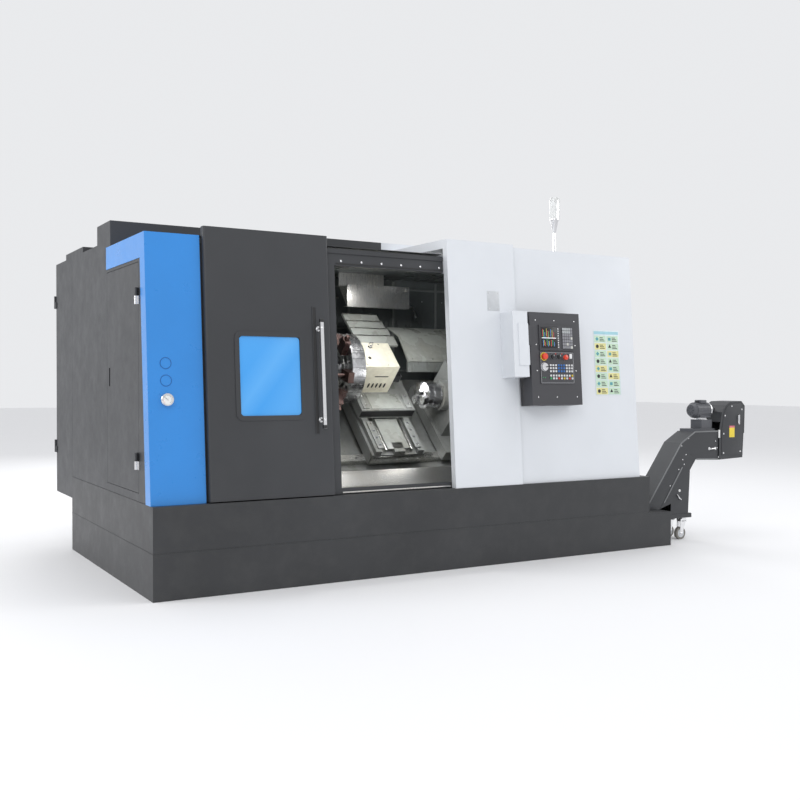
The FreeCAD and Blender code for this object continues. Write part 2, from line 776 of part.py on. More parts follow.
def door_handle():
    """Flat bar handle on two standoffs."""
    left = "slide_left + slide_width - 100"
    bar = box("handle_bar", (left, "slide_front - 62", "430"), ("22", "16", "690"))
    posts = []
    for height in ("486", "1064"):
        posts.append(rod("handle_post", (left + " + 11", "slide_front - 47", height), "8", "47", "y"))
    finish("door_handle", fuse("handle_body", bar, *posts), frame="front")


# Hood and right cover

def hood():
    """Light hood: leaning front, roof and left flange, joined to the light half of the roof beam."""
    top_front = leaning("hood_front", "hood_top")
    roof_low = "hood_top - hood_roof"
    inner_low = leaning("hood_front + hood_flange", roof_low)
    outer = profile("hood_outer", "YZ_Plane", [
        ("hood_front", "base_height"), (top_front, "hood_top"), ("beam_front", "hood_top"),
        ("beam_front", roof_low), (inner_low, roof_low), ("hood_front + hood_flange", "base_height"),
    ], "hood_left", "hood_width")
    inner = profile("hood_inner", "YZ_Plane", [
        ("hood_front + skin", "base_height - 10"), (leaning("hood_front + skin", "hood_top - skin"),
                                                    "hood_top - skin"),
        ("beam_front + 1", "hood_top - skin"), ("beam_front + 1", roof_low + " - 10"),
        (inner_low + " + 10", roof_low + " - 10"), ("hood_front + hood_flange + 10", "base_height - 10"),
    ], "hood_left + skin", "hood_width")
    tube = box("light_beam", ("beam_split + 1", "beam_front", "beam_bottom"),
               ("right_end - beam_split - 1", "beam_depth", "beam_height"))
    inside = box("light_inside", ("beam_split", "beam_front + skin", "beam_bottom + skin"),
                 ("right_end - beam_split - skin", "beam_depth - 2 * skin", "beam_height - 2 * skin"))
    finish("hood", fuse("hood_body", cut("hood_cut", outer, inner), cut("light_cut", tube, inside)))


def right_cover():
    """Leaning right front and its roof, set back a little behind the hood."""
    start = "hood_left + hood_width + 3"
    back_low = "right_front + skin"
    sheet_metal = profile("right_sheet", "YZ_Plane", [
        ("right_front", "base_height"), (leaning("right_front", "right_top"), "right_top"),
        ("beam_front - 0.5", "right_top"), ("beam_front - 0.5", "right_top - skin"),
        (leaning(back_low, "right_top - skin"), "right_top - skin"), (back_low, "base_height"),
    ], start, "right_end - (%s)" % start)
    finish("right_cover", sheet_metal)


def right_end_panel():
    """Right wall, inside the edges of the front cover and the rear shell."""
    back_low = "right_front + skin + 0.5"
    wall = profile("right_wall", "YZ_Plane", [
        (back_low, "base_height"), ("base_depth - skin", "base_height"),
        ("base_depth - skin", "rear_top - skin"),
        ("beam_front + beam_depth + 0.5", "rear_top - skin"),
        ("beam_front + beam_depth + 0.5", "beam_bottom - 0.5"),
        ("beam_front - 1", "beam_bottom - 0.5"), ("beam_front - 1", "right_top - skin - 0.5"),
        (leaning(back_low, "right_top - skin - 0.5"), "right_top - skin - 0.5"),
    ], "right_end - side_skin", "side_skin")
    finish("right_end_panel", wall)


# Control panel

PIN = ("panel_left - pin_offset", "-panel_front - 8")


def panel_bracket():
    """Light arm box on the hood with the fixed half of the panel's hinge."""
    block = box("bracket_block", ("bracket_left", "hood_front - bracket_depth - 0.1", "bracket_bottom"),
                ("bracket_width", "bracket_depth", "bracket_height"))
    inside = box("bracket_inside",
                 ("bracket_left + 3", "hood_front - bracket_depth + 3", "bracket_bottom + 3"),
                 ("bracket_width - 6", "bracket_depth", "bracket_height - 6"))
    plate = box("bracket_plate", ("bracket_left + 44", "hood_front - bracket_depth - 6", "835"),
                ("bracket_width - 44", "6.5", "295"))
    leaf = box("bracket_leaf", ("bracket_left + bracket_width - 1", PIN[1] + " - 2", "840"),
               ("%s - bracket_left - bracket_width + 1" % PIN[0], "4", "138"))
    barrel = rod("bracket_barrel", (PIN[0], PIN[1], "840"), "7", "138")
    pin = rod("bracket_pin", (PIN[0], PIN[1], "840"), "3", "250")
    body = fuse("bracket_body", cut("bracket_cut", block, inside), plate, leaf, barrel, pin)
    finish("panel_bracket", body, frame="front")


def panel_box():
    """Control panel housing with a tilted face, on the moving half of its hinge."""
    top_front = "-panel_front + panel_height * tan(panel_tilt)"
    top = "panel_bottom + panel_height"
    block = profile("panel_block", "YZ_Plane", [
        ("-panel_front", "panel_bottom"), (top_front, top), ("panel_back", top),
        ("panel_back", "panel_bottom"),
    ], "panel_left", "panel_width")
    inner = profile("panel_inner", "YZ_Plane", [
        ("-panel_front + 4", "panel_bottom + 3"), (top_front + " + 3", top + " - 3"),
        ("panel_back - 3", top + " - 3"), ("panel_back - 3", "panel_bottom + 3"),
    ], "panel_left + 3", "panel_width - 6")
    low = "978 + gap"
    ear = box("panel_ear", ("panel_left - 1", PIN[1] + " - 6", low), ("3", "120", "140"))
    barrel = rod("panel_barrel", (PIN[0], PIN[1], low), "7", "140")
    hole = rod("panel_pin_hole", (PIN[0], PIN[1], low + " - 5"), "3 + fit_gap", "130")
    leaf = box("panel_leaf", (PIN[0], PIN[1] + " - 6", low), ("pin_offset", "4", "140"))
    hinge = cut("panel_hinge", fuse("panel_knuckle", barrel, leaf), hole)
    x, z = SWITCHES["e_stop_button"][:2]
    stem_hole = rod("panel_stem_hole", (x, "-10", z), "6 + gap", "40", "y")
    x, z = BUTTON
    switch_hole = box("panel_switch_hole", (x + " - gap", "-10", z + " - gap"),
                      ("20 + 2 * gap", "40", "34 + 2 * gap"))
    drilled = on_face("panel_holes", stem_hole, switch_hole)
    body = fuse("panel_body", block, ear, hinge)
    finish("panel_box", cut("panel_cut", body, inner, drilled), frame="front")


def on_face(name, *pieces):
    """Pieces laid out on the panel's face: X to the right, Y inwards, Z up the face."""
    return group(name, pieces, ("panel_left", "-panel_front - 0.05", "panel_bottom"),
                 (1, 0, 0), "-panel_tilt")


def screen_unit():
    """Display with its key block beside it."""
    frame = box("screen_frame", ("78", "-8", "390"), ("312", "8", "182"))
    glass = box("screen_glass", ("90", "-9", "402"), ("150", "1.5", "158"))
    keys = box("screen_keys", ("282", "-11", "402"), ("98", "3.5", "158"))
    finish("screen_unit", on_face("screen_laid", fuse("screen_body", frame, glass, keys)), frame="front")


SWITCHES = {
    "e_stop_button": ("112", "346", 22),
    "handwheel": ("113", "272", 27),
    "feed_knob": ("190", "346", 15),
    "spindle_knob": ("248", "346", 15),
    "mode_knob": ("307", "342", 18),
}
BUTTON = ("344", "333")
KEY_COLUMNS = 9
KEY_ROWS = (277, 256, 234, 203, 183)


def operator_plate():
    """Plate of the operator panel, drilled for the switches."""
    plate = box("operator_sheet", ("78", "-5", "152"), ("308", "5", "228"))
    holes = []
    for name, (x, z, _) in SWITCHES.items():
        holes.append(rod(name + "_hole", (x, "-20", z), "6 + fit_gap", "60", "y"))
    x, z = BUTTON
    holes.append(box("switch_hole", (x + " - fit_gap", "-20", z + " - fit_gap"),
                     ("20 + 2 * fit_gap", "40", "34 + 2 * fit_gap")))
    key_rows = []
    for low in KEY_ROWS:
        for column in range(KEY_COLUMNS):
            key_rows.append(box("key", ("160 + 24.4 * %d" % column, "-7.5", "%d" % low),
                                ("16", "3", "14")))
    body = cut("operator_cut", fuse("operator_body", plate, *key_rows), *holes)
    finish("operator_plate", on_face("operator_laid", body), frame="front")


def switch_knob(name, height):
    """A knob or button: its head in front of the plate, its stem through it."""
    x, z, radius = SWITCHES[name]
    lift = "5 + gap"
    if name == "e_stop_button":
        lift = "5 + gap + button_travel"
    head = rod(name + "_head", (x, "-(%s) - %d" % (lift, height), z), "%d" % radius, "%d" % height, "y")
    stem = rod(name + "_stem", (x, "-(%s) - 1" % lift, z), "6", lift + " + 0.7", "y")
    pieces = [head, stem]
    if name == "handwheel":
        pieces.append(rod("wheel_grip", (x + " + 16", "-%d" % (height + 18), z), "4", "14", "y"))
    if name.endswith("knob"):
        pieces.append(box(name + "_mark", ("%s - 3" % x, "-7.3 - %d" % height, "%s - 2" % z),
                          ("6", "5", "%d" % radius)))
    finish(name, on_face(name + "_laid", fuse(name + "_body", *pieces)), frame="front")


def power_switch():
    """White push button at the plate's top right corner."""
    x, z = BUTTON
    head = box("switch_head", (x, "-12", z), ("20", "11.7", "34"))
    finish("power_switch", on_face("switch_laid", head), frame="front")


# Signal lamp

def signal_lamp():
    """Lamp foot and neck on the roof beam's front side, and the lens on top of it."""
    at = ("lamp_left", "lamp_depth")
    foot = "right_top"
    pole = turned("lamp_pole_turned", [
        ("0", "0"), ("45", "0"), ("45", "8"), ("16", "20"), ("12", "236"), ("34", "345"), ("0", "345"),
    ], (at[0], at[1], foot))
    finish("lamp_pole", pole)
    lens = turned("lamp_lens_turned", [
        ("0", "0"), ("lamp_radius - 4", "0"), ("lamp_radius", "lens_height - 22"),
        ("lamp_radius - 10", "lens_height - 4"), ("lamp_radius - 24", "lens_height"), ("0", "lens_height"),
    ], (at[0], at[1], foot + " + 345"))
    finish("lamp_lens", lens)


# Chip conveyor

CASTERS = {"front": "trough_front + 32", "rear": "trough_front + trough_width - 32"}

def conveyor_trough():
    """Closed trough that climbs out of the base, with its leg and foot plate."""
    outer = profile("trough_outer", "XZ_Plane", [
        ("1500", "base_wall"), ("base_length - 165", "base_wall"), ("base_length + 10", "241"),
        ("base_length + 272", "590"), ("base_length + 363", "700"), ("base_length + 431", "649"),
        ("base_length + 690", "639"), ("base_length + 690", "872"), ("base_length + 417", "872"),
        ("base_length + 264", "785"), ("base_length - 210", "155"), ("1500", "155"),
    ], "trough_front", "trough_width")
    inner = profile("trough_inner", "XZ_Plane", [
        ("1496", "base_wall + 6"), ("base_length - 168", "base_wall + 6"),
        ("base_length + 8", "249"), ("base_length + 360", "708"), ("base_length + 434", "656"),
        ("base_length + 695", "646"), ("base_length + 695", "866"), ("base_length + 419", "866"),
        ("base_length + 270", "779"), ("base_length - 203", "149"), ("3700", "149"),
        ("3700", "170"), ("1496", "170"),
    ], "trough_front + trough_skin", "trough_width - 2 * trough_skin")
    leg_plates = []
    for start in ("trough_front", "trough_front + trough_width - trough_skin"):
        leg_plates.append(profile("leg_plate", "XZ_Plane", [
            ("base_length + 30", "262"), ("base_length + 270", "585"), ("base_length + 360", "700"),
            ("base_length + 430", "650"), ("base_length + 363", "562"),
            ("base_length + 345", "211"), ("base_length + 152", "211"), ("base_length + 152", "300"),
            ("base_length + 50", "270"),
        ], start, "trough_skin"))
    foot = box("foot_plate", ("base_length + 144", "trough_front - 4", "177"),
               ("236", "trough_width + 8", "34.5"))
    brace = box("leg_brace", ("base_length + 290", "trough_front + 2", "211"),
                ("5", "trough_width - 4", "350"))
    holes = []
    for depth in CASTERS.values():
        holes.append(rod("stud_hole", ("base_length + 315", depth, "170"), "6 + fit_gap", "20"))
    drilled = cut("foot_drilled", foot, *holes)
    body = fuse("trough_body", cut("trough_cut", outer, inner), drilled, brace, *leg_plates)
    finish("conveyor_trough", body)


def conveyor_drive():
    """Chain guard of the head drive, with chamfered top corners and the chip chute."""
    case = profile("drive_case", "XZ_Plane", [
        ("base_length + 690", "635"), ("base_length + 970", "645"), ("base_length + 982", "850"),
        ("base_length + 990", "850"), ("base_length + 994", "1080"),
        ("base_length + 952", "1120"), ("base_length + 820", "1116"), ("base_length + 760", "1085"),
        ("base_length + 720", "1030"), ("base_length + 690", "880"),
    ], "trough_front - 10", "trough_width + 20")
    inside = profile("drive_inside", "XZ_Plane", [
        ("base_length + 680", "643"), ("base_length + 964", "652"), ("base_length + 974", "845"),
        ("base_length + 980", "1072"), ("base_length + 948", "1112"),
        ("base_length + 824", "1108"), ("base_length + 768", "1080"), ("base_length + 728", "1026"),
        ("base_length + 680", "872"),
    ], "trough_front - 6", "trough_width + 12")
    mouth = box("drive_mouth", ("base_length + 740", "trough_front + 10", "600"),
                ("200", "trough_width - 20", "80"))
    flange = box("drive_flange", ("base_length + 968", "trough_front + 10", "660"),
                 ("28", "trough_width - 20", "180"))
    middle = "trough_front + trough_width / 2"
    hole = rod("drive_hole", ("base_length + 680", middle, "1045"), "14 + fit_gap", "80", "x")
    finish("conveyor_drive", fuse("drive_body", cut("drive_cut", case, inside, mouth, hole), flange))


def conveyor_motor():
    """Gearbox on the trough's top with the motor lying across it."""
    middle = "trough_front + trough_width / 2"
    pad = box("hatch_plate", ("base_length + 420", "trough_front + 20", "872"),
              ("250", "trough_width - 40", "22"))
    gear = box("gear_case", ("base_length + 530", middle + " - 60", "893"), ("120", "120", "74"))
    neck = rod("gear_neck", ("base_length + 590", middle, "966"), "40", "20")
    motor = rod("motor_drum", ("base_length + 490", middle, "1045"), "62", "170", "x")
    cap = cone("motor_cap", ("base_length + 465", middle, "1045"), "46", "60", "25.5", "x")
    foot = box("motor_foot", ("base_length + 530", middle + " - 45", "985"), ("120", "90", "30"))
    shaft = rod("motor_shaft", ("base_length + 655", middle, "1045"), "14", "72", "x")
    finish("conveyor_motor", fuse("gear_motor", pad, gear, neck, motor, cap, foot, shaft))


def caster(side):
    """Swivelling fork under the foot plate, and its wheel."""
    depth = CASTERS[side]
    centre = "base_length + 315 - caster_trail"
    crown = rod("caster_crown", ("base_length + 315", depth, "177 - 0.3 - 12"), "22", "12")
    stud = rod("caster_stud", ("base_length + 315", depth, "160"), "6", "20")
    bridge = box("caster_bridge", (centre + " - 12", depth + " - 23", "152"),
                 ("caster_trail + 34", "46", "14"))
    cheeks = []
    for start in ("- caster_width / 2 - 5", "+ caster_width / 2 + 1"):
        cheeks.append(profile("caster_cheek", "XZ_Plane", [
            (centre + " - 12", "38"), (centre + " + 12", "38"), (centre + " + caster_trail + 22", "158"),
            (centre + " - 12", "158"),
        ], depth + start, "4"))
    axle = rod("caster_axle", (centre, depth + " - caster_width / 2 - 4", "caster_radius"),
               "5", "caster_width + 8", "y")
    wheel_gap = rod("caster_gap", (centre, depth + " - caster_width / 2 - 0.6", "caster_radius"),
                    "caster_radius + 4", "caster_width + 1.2", "y")
    solid = fuse("caster_solid", crown, stud, bridge, *cheeks)
    finish("caster_fork_" + side, fuse("caster_made", cut("caster_cut", solid, wheel_gap), axle))
    tyre = rod("caster_tyre", (centre, depth + " - caster_width / 2", "caster_radius"),
               "caster_radius", "caster_width", "y")
    bore = rod("caster_bore", (centre, depth + " - caster_width", "caster_radius"),
               "5 + fit_gap", "2 * caster_width", "y")
    finish("caster_wheel_" + side, cut("caster_wheel_cut", tyre, bore))


def build():
    """Make every node."""
    fill_sheet()
    base_tub()
    slant_bed()
    bed_rails()
    headstock()
    spindle_motor()
    main_spindle()
    main_chuck()
    saddle()
    cross_slide()
    turret_housing()
    turret_disc()
    tool_holders()
    sub_spindle_body()
    sub_chuck()
    corner_cover()
    pressure_gauge()
    left_side_panel()
    side_door()
    side_door_hinges()
    electrical_cabinet()
    cabinet_door("left")
    cabinet_door("right")
    top_beam()
    rear_shell()
    roof_box()
    back_wall()
    stainless_panel()
    chip_pan()
    front_frame()
    door_shell()
    door_window()
    door_handle()
    hood()
    right_cover()
    right_end_panel()
    panel_bracket()
    panel_box()
    screen_unit()
    operator_plate()
    switch_knob("e_stop_button", 16)
    switch_knob("handwheel", 12)
    switch_knob("feed_knob", 14)
    switch_knob("spindle_knob", 14)
    switch_knob("mode_knob", 14)
    power_switch()
    signal_lamp()
    conveyor_trough()
    conveyor_drive()
    conveyor_motor()
    for side in CASTERS:
        caster(side)


def check():
    """Stop if anything failed to build or is not a sound solid."""
    doc.recompute()
    for item in doc.Objects:
        if "Invalid" in item.State or "Error" in item.State:
            raise RuntimeError(item.Name + " failed")
    for node in finished:
        if node.Shape.isNull() or not node.Shape.isValid() or not node.Shape.Solids:
            raise RuntimeError(node.Label + " is not a valid solid")


def export():
    """Write each node's shape to its own STEP file."""
    os.makedirs("parts", exist_ok=True)
    for node in finished:
        node.Shape.exportStep("parts/%s.step" % node.Label)
        print("%-22s %2d solids  %.1f l" % (node.Label, len(node.Shape.Solids), node.Shape.Volume / 1e6))


build()
check()
export()
print(len(finished), "nodes")
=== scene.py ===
import json
import math
import bmesh
import bpy
from mathutils import Matrix, Vector


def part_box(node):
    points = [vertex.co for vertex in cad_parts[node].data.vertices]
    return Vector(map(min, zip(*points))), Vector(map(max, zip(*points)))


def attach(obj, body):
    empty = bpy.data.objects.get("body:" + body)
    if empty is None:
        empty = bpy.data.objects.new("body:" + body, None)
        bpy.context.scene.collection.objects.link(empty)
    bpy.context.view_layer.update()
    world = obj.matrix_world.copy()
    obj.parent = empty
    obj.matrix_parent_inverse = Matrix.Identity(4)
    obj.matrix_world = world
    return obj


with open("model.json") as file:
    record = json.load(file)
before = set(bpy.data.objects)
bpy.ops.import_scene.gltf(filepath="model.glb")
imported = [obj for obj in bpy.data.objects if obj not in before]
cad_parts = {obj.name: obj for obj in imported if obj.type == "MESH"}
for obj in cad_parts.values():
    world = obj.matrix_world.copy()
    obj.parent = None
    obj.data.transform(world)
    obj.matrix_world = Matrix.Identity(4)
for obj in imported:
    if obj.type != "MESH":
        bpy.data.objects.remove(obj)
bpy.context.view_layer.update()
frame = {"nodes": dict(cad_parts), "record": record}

nodes = frame["nodes"]
corner = Vector(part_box("base_tub")[0])  # front left bottom corner of the base
print("frame loaded:", len(nodes), "nodes")

# Places to build in besides the machine's own: leaning front, slant bed, panel's face, spindle line.
leanSlope = 0.08
baseTop = 0.55
lean = math.atan(leanSlope)
spindleLine = Vector((0, 0.8, 1.174))
panelCorner = (2.685, -0.117, 0.555)
machineSpace = Matrix.Translation(corner)
frontSpace = machineSpace @ Matrix.Translation((0, 0, baseTop)) @ Matrix.Rotation(-lean, 4, "X")
slantSpace = machineSpace @ Matrix.Translation(spindleLine) @ Matrix.Rotation(math.radians(45), 4, "X")
faceSpace = frontSpace @ Matrix.Translation(panelCorner)
spindleSpace = machineSpace @ Matrix.Translation(spindleLine)


class Value:
    # a node's output, so that shader sums read as plain sums
    def __init__(self, paint, socket):
        self.paint, self.socket = paint, socket

    def work(self, operation, first, second):
        return self.paint.add("ShaderNodeMath", {"operation": operation}, {0: first, 1: second})

    def __add__(self, other):
        return self.work("ADD", self, other)

    def __sub__(self, other):
        return self.work("SUBTRACT", self, other)

    def __rsub__(self, other):
        return self.work("SUBTRACT", other, self)

    def __mul__(self, other):
        return self.work("MULTIPLY", self, other)

    __radd__ = __add__
    __rmul__ = __mul__


class Paint:
    def __init__(self, name):
        self.material = bpy.data.materials.new(name)
        self.material.use_nodes = True
        self.tree = self.material.node_tree
        self.tree.nodes.clear()
        self.place = self.add("ShaderNodeTexCoord", out="Object")

    def add(self, kind, settings=(), values=(), out=0):
        made = self.tree.nodes.new(kind)
        for key, value in dict(settings).items():
            if key == "stops":
                ramp = made.color_ramp
                while len(ramp.elements) < len(value):
                    ramp.elements.new(0.5)
                for stop, (at, shade) in zip(ramp.elements, value):
                    stop.position = at
                    stop.color = (*shade, 1) if isinstance(shade, tuple) else (shade, shade, shade, 1)
            else:
                setattr(made, key, value)
        for key, value in dict(values).items():
            if isinstance(value, Value):
                self.tree.links.new(value.socket, made.inputs[key])
            elif isinstance(value, tuple) and len(value) == 3 and made.inputs[key].type == "RGBA":
                made.inputs[key].default_value = (*value, 1)
            else:
                made.inputs[key].default_value = value
        return Value(self, made.outputs[out]) if made.outputs else None

    def noise(self, scale, detail=2.0, stretch=None, rough=0.5):
        place = self.place
        if stretch:
            place = self.add("ShaderNodeMapping", values={"Vector": place, "Scale": stretch})
        return self.add("ShaderNodeTexNoise", values={"Vector": place, "Scale": scale, "Detail": detail,
                "Roughness": rough})

    def between(self, value, low, high, toLow=0.0, toHigh=1.0):
        return self.add("ShaderNodeMapRange", values={"Value": value, "From Min": low, "From Max": high,
                "To Min": toLow, "To Max": toHigh})

    def mix(self, factor, first, second):
        return self.add("ShaderNodeMix", {"data_type": "RGBA"}, {0: factor, 6: first, 7: second}, 2)

    def axis(self, name):
        return self.add("ShaderNodeSeparateXYZ", values={0: self.place}, out="XYZ".index(name))

    def bump(self, height, strength, distance, normal=None):
        values = {"Height": height, "Strength": strength, "Distance": distance}
        if normal:
            values["Normal"] = normal
        return self.add("ShaderNodeBump", values=values)

    def done(self, colour, rough=0.5, metal=0.0, normal=None, **more):
        values = {"Base Color": colour, "Roughness": rough, "Metallic": metal}
        if normal:
            values["Normal"] = normal
        values.update({key.replace("_", " "): value for key, value in more.items()})
        shader = self.add("ShaderNodeBsdfPrincipled", values=values)
        self.add("ShaderNodeOutputMaterial", values={"Surface": shader})
        return self.material


finishes = {}


def powderCoat(name, colour, rough=0.45, grain=900.0, depth=0.00012, mottle=0.05, dust=0.0, coat=0.0):
    # sprayed sheet metal: orange peel, cloudy tone, rubbed patches and a little dust
    paint = Paint(name)
    cloud = paint.noise(1.7, 4.0)
    fine = paint.noise(grain, 2.0)
    patch = paint.noise(9.0, 5.0, rough=0.62)
    darker = tuple(c * (1 - mottle) for c in colour)
    lighter = tuple(min(1, c * (1 + mottle) + 0.25 * mottle * mottle) for c in colour)
    tone = paint.mix(paint.between(cloud, 0.3, 0.7), darker, lighter)
    if dust:
        lying = paint.between(paint.axis("Z"), -0.2, 1.6, 1.0, 0.0) * paint.between(patch, 0.45, 0.75)
        tone = paint.mix(lying * dust, tone, (0.42, 0.41, 0.38))
    sheen = paint.between(patch, 0.25, 0.75, rough - 0.06, rough + 0.09)
    peel = paint.bump(fine, 0.35, depth)
    finishes[name] = paint.done(tone, sheen, 0.0, peel, **{"Coat Weight": coat, "Coat Roughness": 0.2})


def castPaint(name, colour, rough=0.5, oil=0.35):
    # painted casting: sandy surface, oil film in soft streaks
    paint = Paint(name)
    sand = paint.noise(420.0, 3.0)
    lumps = paint.noise(28.0, 4.0)
    film = paint.between(paint.noise(5.0, 5.0, (1.0, 1.0, 0.35)), 0.45, 0.68)
    tone = paint.mix(film * oil, paint.mix(paint.between(lumps, 0.3, 0.7), tuple(c * 0.86 for c in colour),
            colour), tuple(c * m for c, m in zip(colour, (0.62, 0.55, 0.42))))
    sheen = paint.between(film, 0.0, 1.0, rough, rough * 0.5)
    rise = paint.bump(sand, 0.3, 0.0004, paint.bump(lumps, 0.25, 0.0012))
    finishes[name] = paint.done(tone, sheen, 0.0, rise)


def brushed(name, colour, rough=0.3, stretch=(1.0, 60.0, 60.0), stain=0.15, scale=22.0,
        warm=(0.75, 0.68, 0.55)):
    # ground or brushed steel: fine lines one way, faint stains
    paint = Paint(name)
    lines = paint.noise(scale, 4.0, stretch, 0.7)
    blot = paint.between(paint.noise(7.0, 5.0), 0.42, 0.72)
    tone = paint.mix(blot * stain, paint.mix(paint.between(lines, 0.3, 0.7),
            tuple(c * 0.88 for c in colour), colour), tuple(c * w for c, w in zip(colour, warm)))
    sheen = paint.between(lines, 0.25, 0.75, rough - 0.07, rough + 0.1)
    finishes[name] = paint.done(tone, sheen, 1.0, paint.bump(lines, 0.25, 0.0002))


def turnedSteel(name, colour, rough=0.24, stain=0.1):
    # faced in a lathe: fine rings round the spindle line, a few scuffs
    paint = Paint(name)
    flat = paint.add("ShaderNodeVectorMath", {"operation": "MULTIPLY"},
            {0: paint.place, 1: (0.0, 1.0, 1.0)})
    reach = paint.add("ShaderNodeVectorMath", {"operation": "LENGTH"}, {0: flat}, "Value")
    rings = paint.add("ShaderNodeTexNoise", {"noise_dimensions": "1D"},
            {"W": reach, "Scale": 900.0, "Detail": 2.0})
    scuff = paint.between(paint.noise(26.0, 5.0), 0.5, 0.7)
    tone = paint.mix(scuff * stain, colour, tuple(c * 0.55 for c in colour))
    sheen = paint.between(rings, 0.3, 0.7, rough - 0.06, rough + 0.1) + scuff * 0.12
    finishes[name] = paint.done(tone, sheen, 1.0, paint.bump(rings, 0.2, 0.0002))


def moulded(name, colour, rough=0.4, grain=1400.0, depth=0.00008, speck=0.03, **more):
    # moulded plastic or rubber: fine spark grain and a handled tone
    paint = Paint(name)
    fine = paint.noise(grain, 2.0)
    worn = paint.noise(30.0, 4.0)
    tone = paint.mix(paint.between(worn, 0.3, 0.7), tuple(c * (1 - speck) for c in colour),
            tuple(c * (1 + speck) for c in colour))
    finishes[name] = paint.done(tone, paint.between(worn, 0.3, 0.7, rough - 0.05, rough + 0.06), 0.0,
            paint.bump(fine, 0.4, depth), **more)


powderCoat("basePaint", (0.030, 0.0315, 0.034), 0.44, 700.0, 0.0002, 0.10, dust=0.04)
powderCoat("darkPaint", (0.036, 0.038, 0.042), 0.46, 800.0, 0.00016, 0.08, dust=0.02)
powderCoat("bluePaint", (0.022, 0.235, 0.66), 0.30, 1000.0, 0.00005, 0.05, coat=0.25)
powderCoat("whitePaint", (0.71, 0.735, 0.77), 0.36, 900.0, 0.00006, 0.03, coat=0.15)
castPaint("creamPaint", (0.72, 0.69, 0.56), 0.38, 0.22)
powderCoat("motorPaint", (0.085, 0.088, 0.098), 0.36, 700.0, 0.0001, 0.10)
castPaint("innerPaint", (0.10, 0.112, 0.112), 0.38, 0.35)
castPaint("castGrey", (0.27, 0.28, 0.27), 0.40, 0.4)
castPaint("coverGrey", (0.34, 0.355, 0.33), 0.34, 0.25)
castPaint("linerPaint", (0.19, 0.205, 0.20), 0.38, 0.35)
powderCoat("edgeGrey", (0.16, 0.165, 0.17), 0.40, 800.0, 0.0001, 0.08)
brushed("groundSteel", (0.62, 0.62, 0.60), 0.26)
brushed("stainless", (0.74, 0.73, 0.70), 0.27, (60.0, 60.0, 1.0), 0.25)
turnedSteel("chuckSteel", (0.68, 0.68, 0.69))
brushed("toolSteel", (0.17, 0.115, 0.105), 0.38, (8.0, 30.0, 8.0), 0.5)
brushed("brightMetal", (0.84, 0.84, 0.85), 0.16, (10.0, 10.0, 60.0), 0.04)
brushed("satinAluminium", (0.80, 0.80, 0.81), 0.30, (40.0, 40.0, 1.5), 0.05)
moulded("panelPlastic", (0.052, 0.052, 0.058), 0.42, 1100.0, 0.00012)
moulded("redPlastic", (0.72, 0.055, 0.022), 0.3, **{"Coat Weight": 0.3})
moulded("blackPlastic", (0.022, 0.022, 0.024), 0.36)
moulded("whitePlastic", (0.80, 0.80, 0.79), 0.32)
moulded("casterRubber", (0.20, 0.19, 0.175), 0.6, 500.0, 0.0003, 0.1)
for plain, colour in (("blueShade", (0.012, 0.11, 0.34)), ("paleGrey", (0.56, 0.58, 0.60)),
        ("dialWhite", (0.82, 0.83, 0.82)), ("keyWhite", (0.76, 0.77, 0.78)),
        ("keyBlue", (0.03, 0.16, 0.48)), ("keyGreen", (0.04, 0.36, 0.12)), ("keyRed", (0.60, 0.05, 0.03)),
        ("keyYellow", (0.72, 0.52, 0.04)), ("keyGrey", (0.24, 0.24, 0.26)), ("keyPale", (0.56, 0.56, 0.52)),
        ("keyLight", (0.40, 0.42, 0.43)), ("chartWhite", (0.66, 0.74, 0.76)),
        ("chartBlue", (0.36, 0.62, 0.70)), ("chartGreen", (0.55, 0.72, 0.55)),
        ("chartYellow", (0.74, 0.70, 0.32)), ("chartTeal", (0.10, 0.34, 0.38)),
        ("creamMark", (0.80, 0.68, 0.48)), ("screenBlack", (0.006, 0.007, 0.009)),
        ("warnPink", (0.62, 0.16, 0.20)), ("warnYellow", (0.78, 0.60, 0.05))):
    moulded(plain, colour, 0.34, speck=0.05)
for plain, colour, power in (("glowRed", (0.8, 0.12, 0.10), 0.5), ("glowGreen", (0.15, 0.6, 0.25), 0.5),
        ("glowBlue", (0.15, 0.35, 0.8), 0.5), ("glowYellow", (0.7, 0.6, 0.15), 0.5),
        ("glowWhite", (0.9, 0.95, 1.0), 0.9)):
    moulded(plain, colour, 0.3, **{"Emission Color": (*colour, 1), "Emission Strength": power})
moulded("rubberSeal", (0.018, 0.018, 0.019), 0.62, 600.0, 0.0002, 0.1)


def windowGlass():
    # tinted safety pane with wide slanting bands of painted reflection, darker towards the bottom
    paint = Paint("windowGlass")
    band = paint.add("ShaderNodeMapping", values={"Vector": paint.place,
            "Rotation": (0.0, math.radians(-38.0), 0.0)})
    across = paint.add("ShaderNodeSeparateXYZ", values={0: band}, out=0)
    # painted reflection: lighter slanting streaks across the pane, mixed into its colour below
    reflectionStreak = paint.add("ShaderNodeValToRGB", {"stops": reflectionBands["streakStops"]},
            {0: paint.between(across, reflectionBands["from"], reflectionBands["to"])})
    rise = paint.between(paint.axis("Z"), 1.0, 1.62)
    deep = paint.mix(rise, (0.012, 0.30, 0.80), (0.055, 0.36, 0.84))
    tone = paint.mix(reflectionStreak * 0.55, deep, (0.13, 0.46, 0.90))
    smear = paint.noise(12.0, 5.0)
    finishes["windowGlass"] = paint.done(tone, paint.between(smear, 0.3, 0.7, 0.05, 0.12), 0.0, None,
            **{"Coat Weight": 0.6, "Coat Roughness": 0.03})


# where the painted reflection streaks lie across the pane, and how strong each one is
reflectionBands = {"from": -2.17, "to": -1.49, "streakStops": ((0.0, 0.0), (0.30, 0.1), (0.46, 1.0), (0.60, 0.25),
        (0.78, 0.8))}
windowGlass()


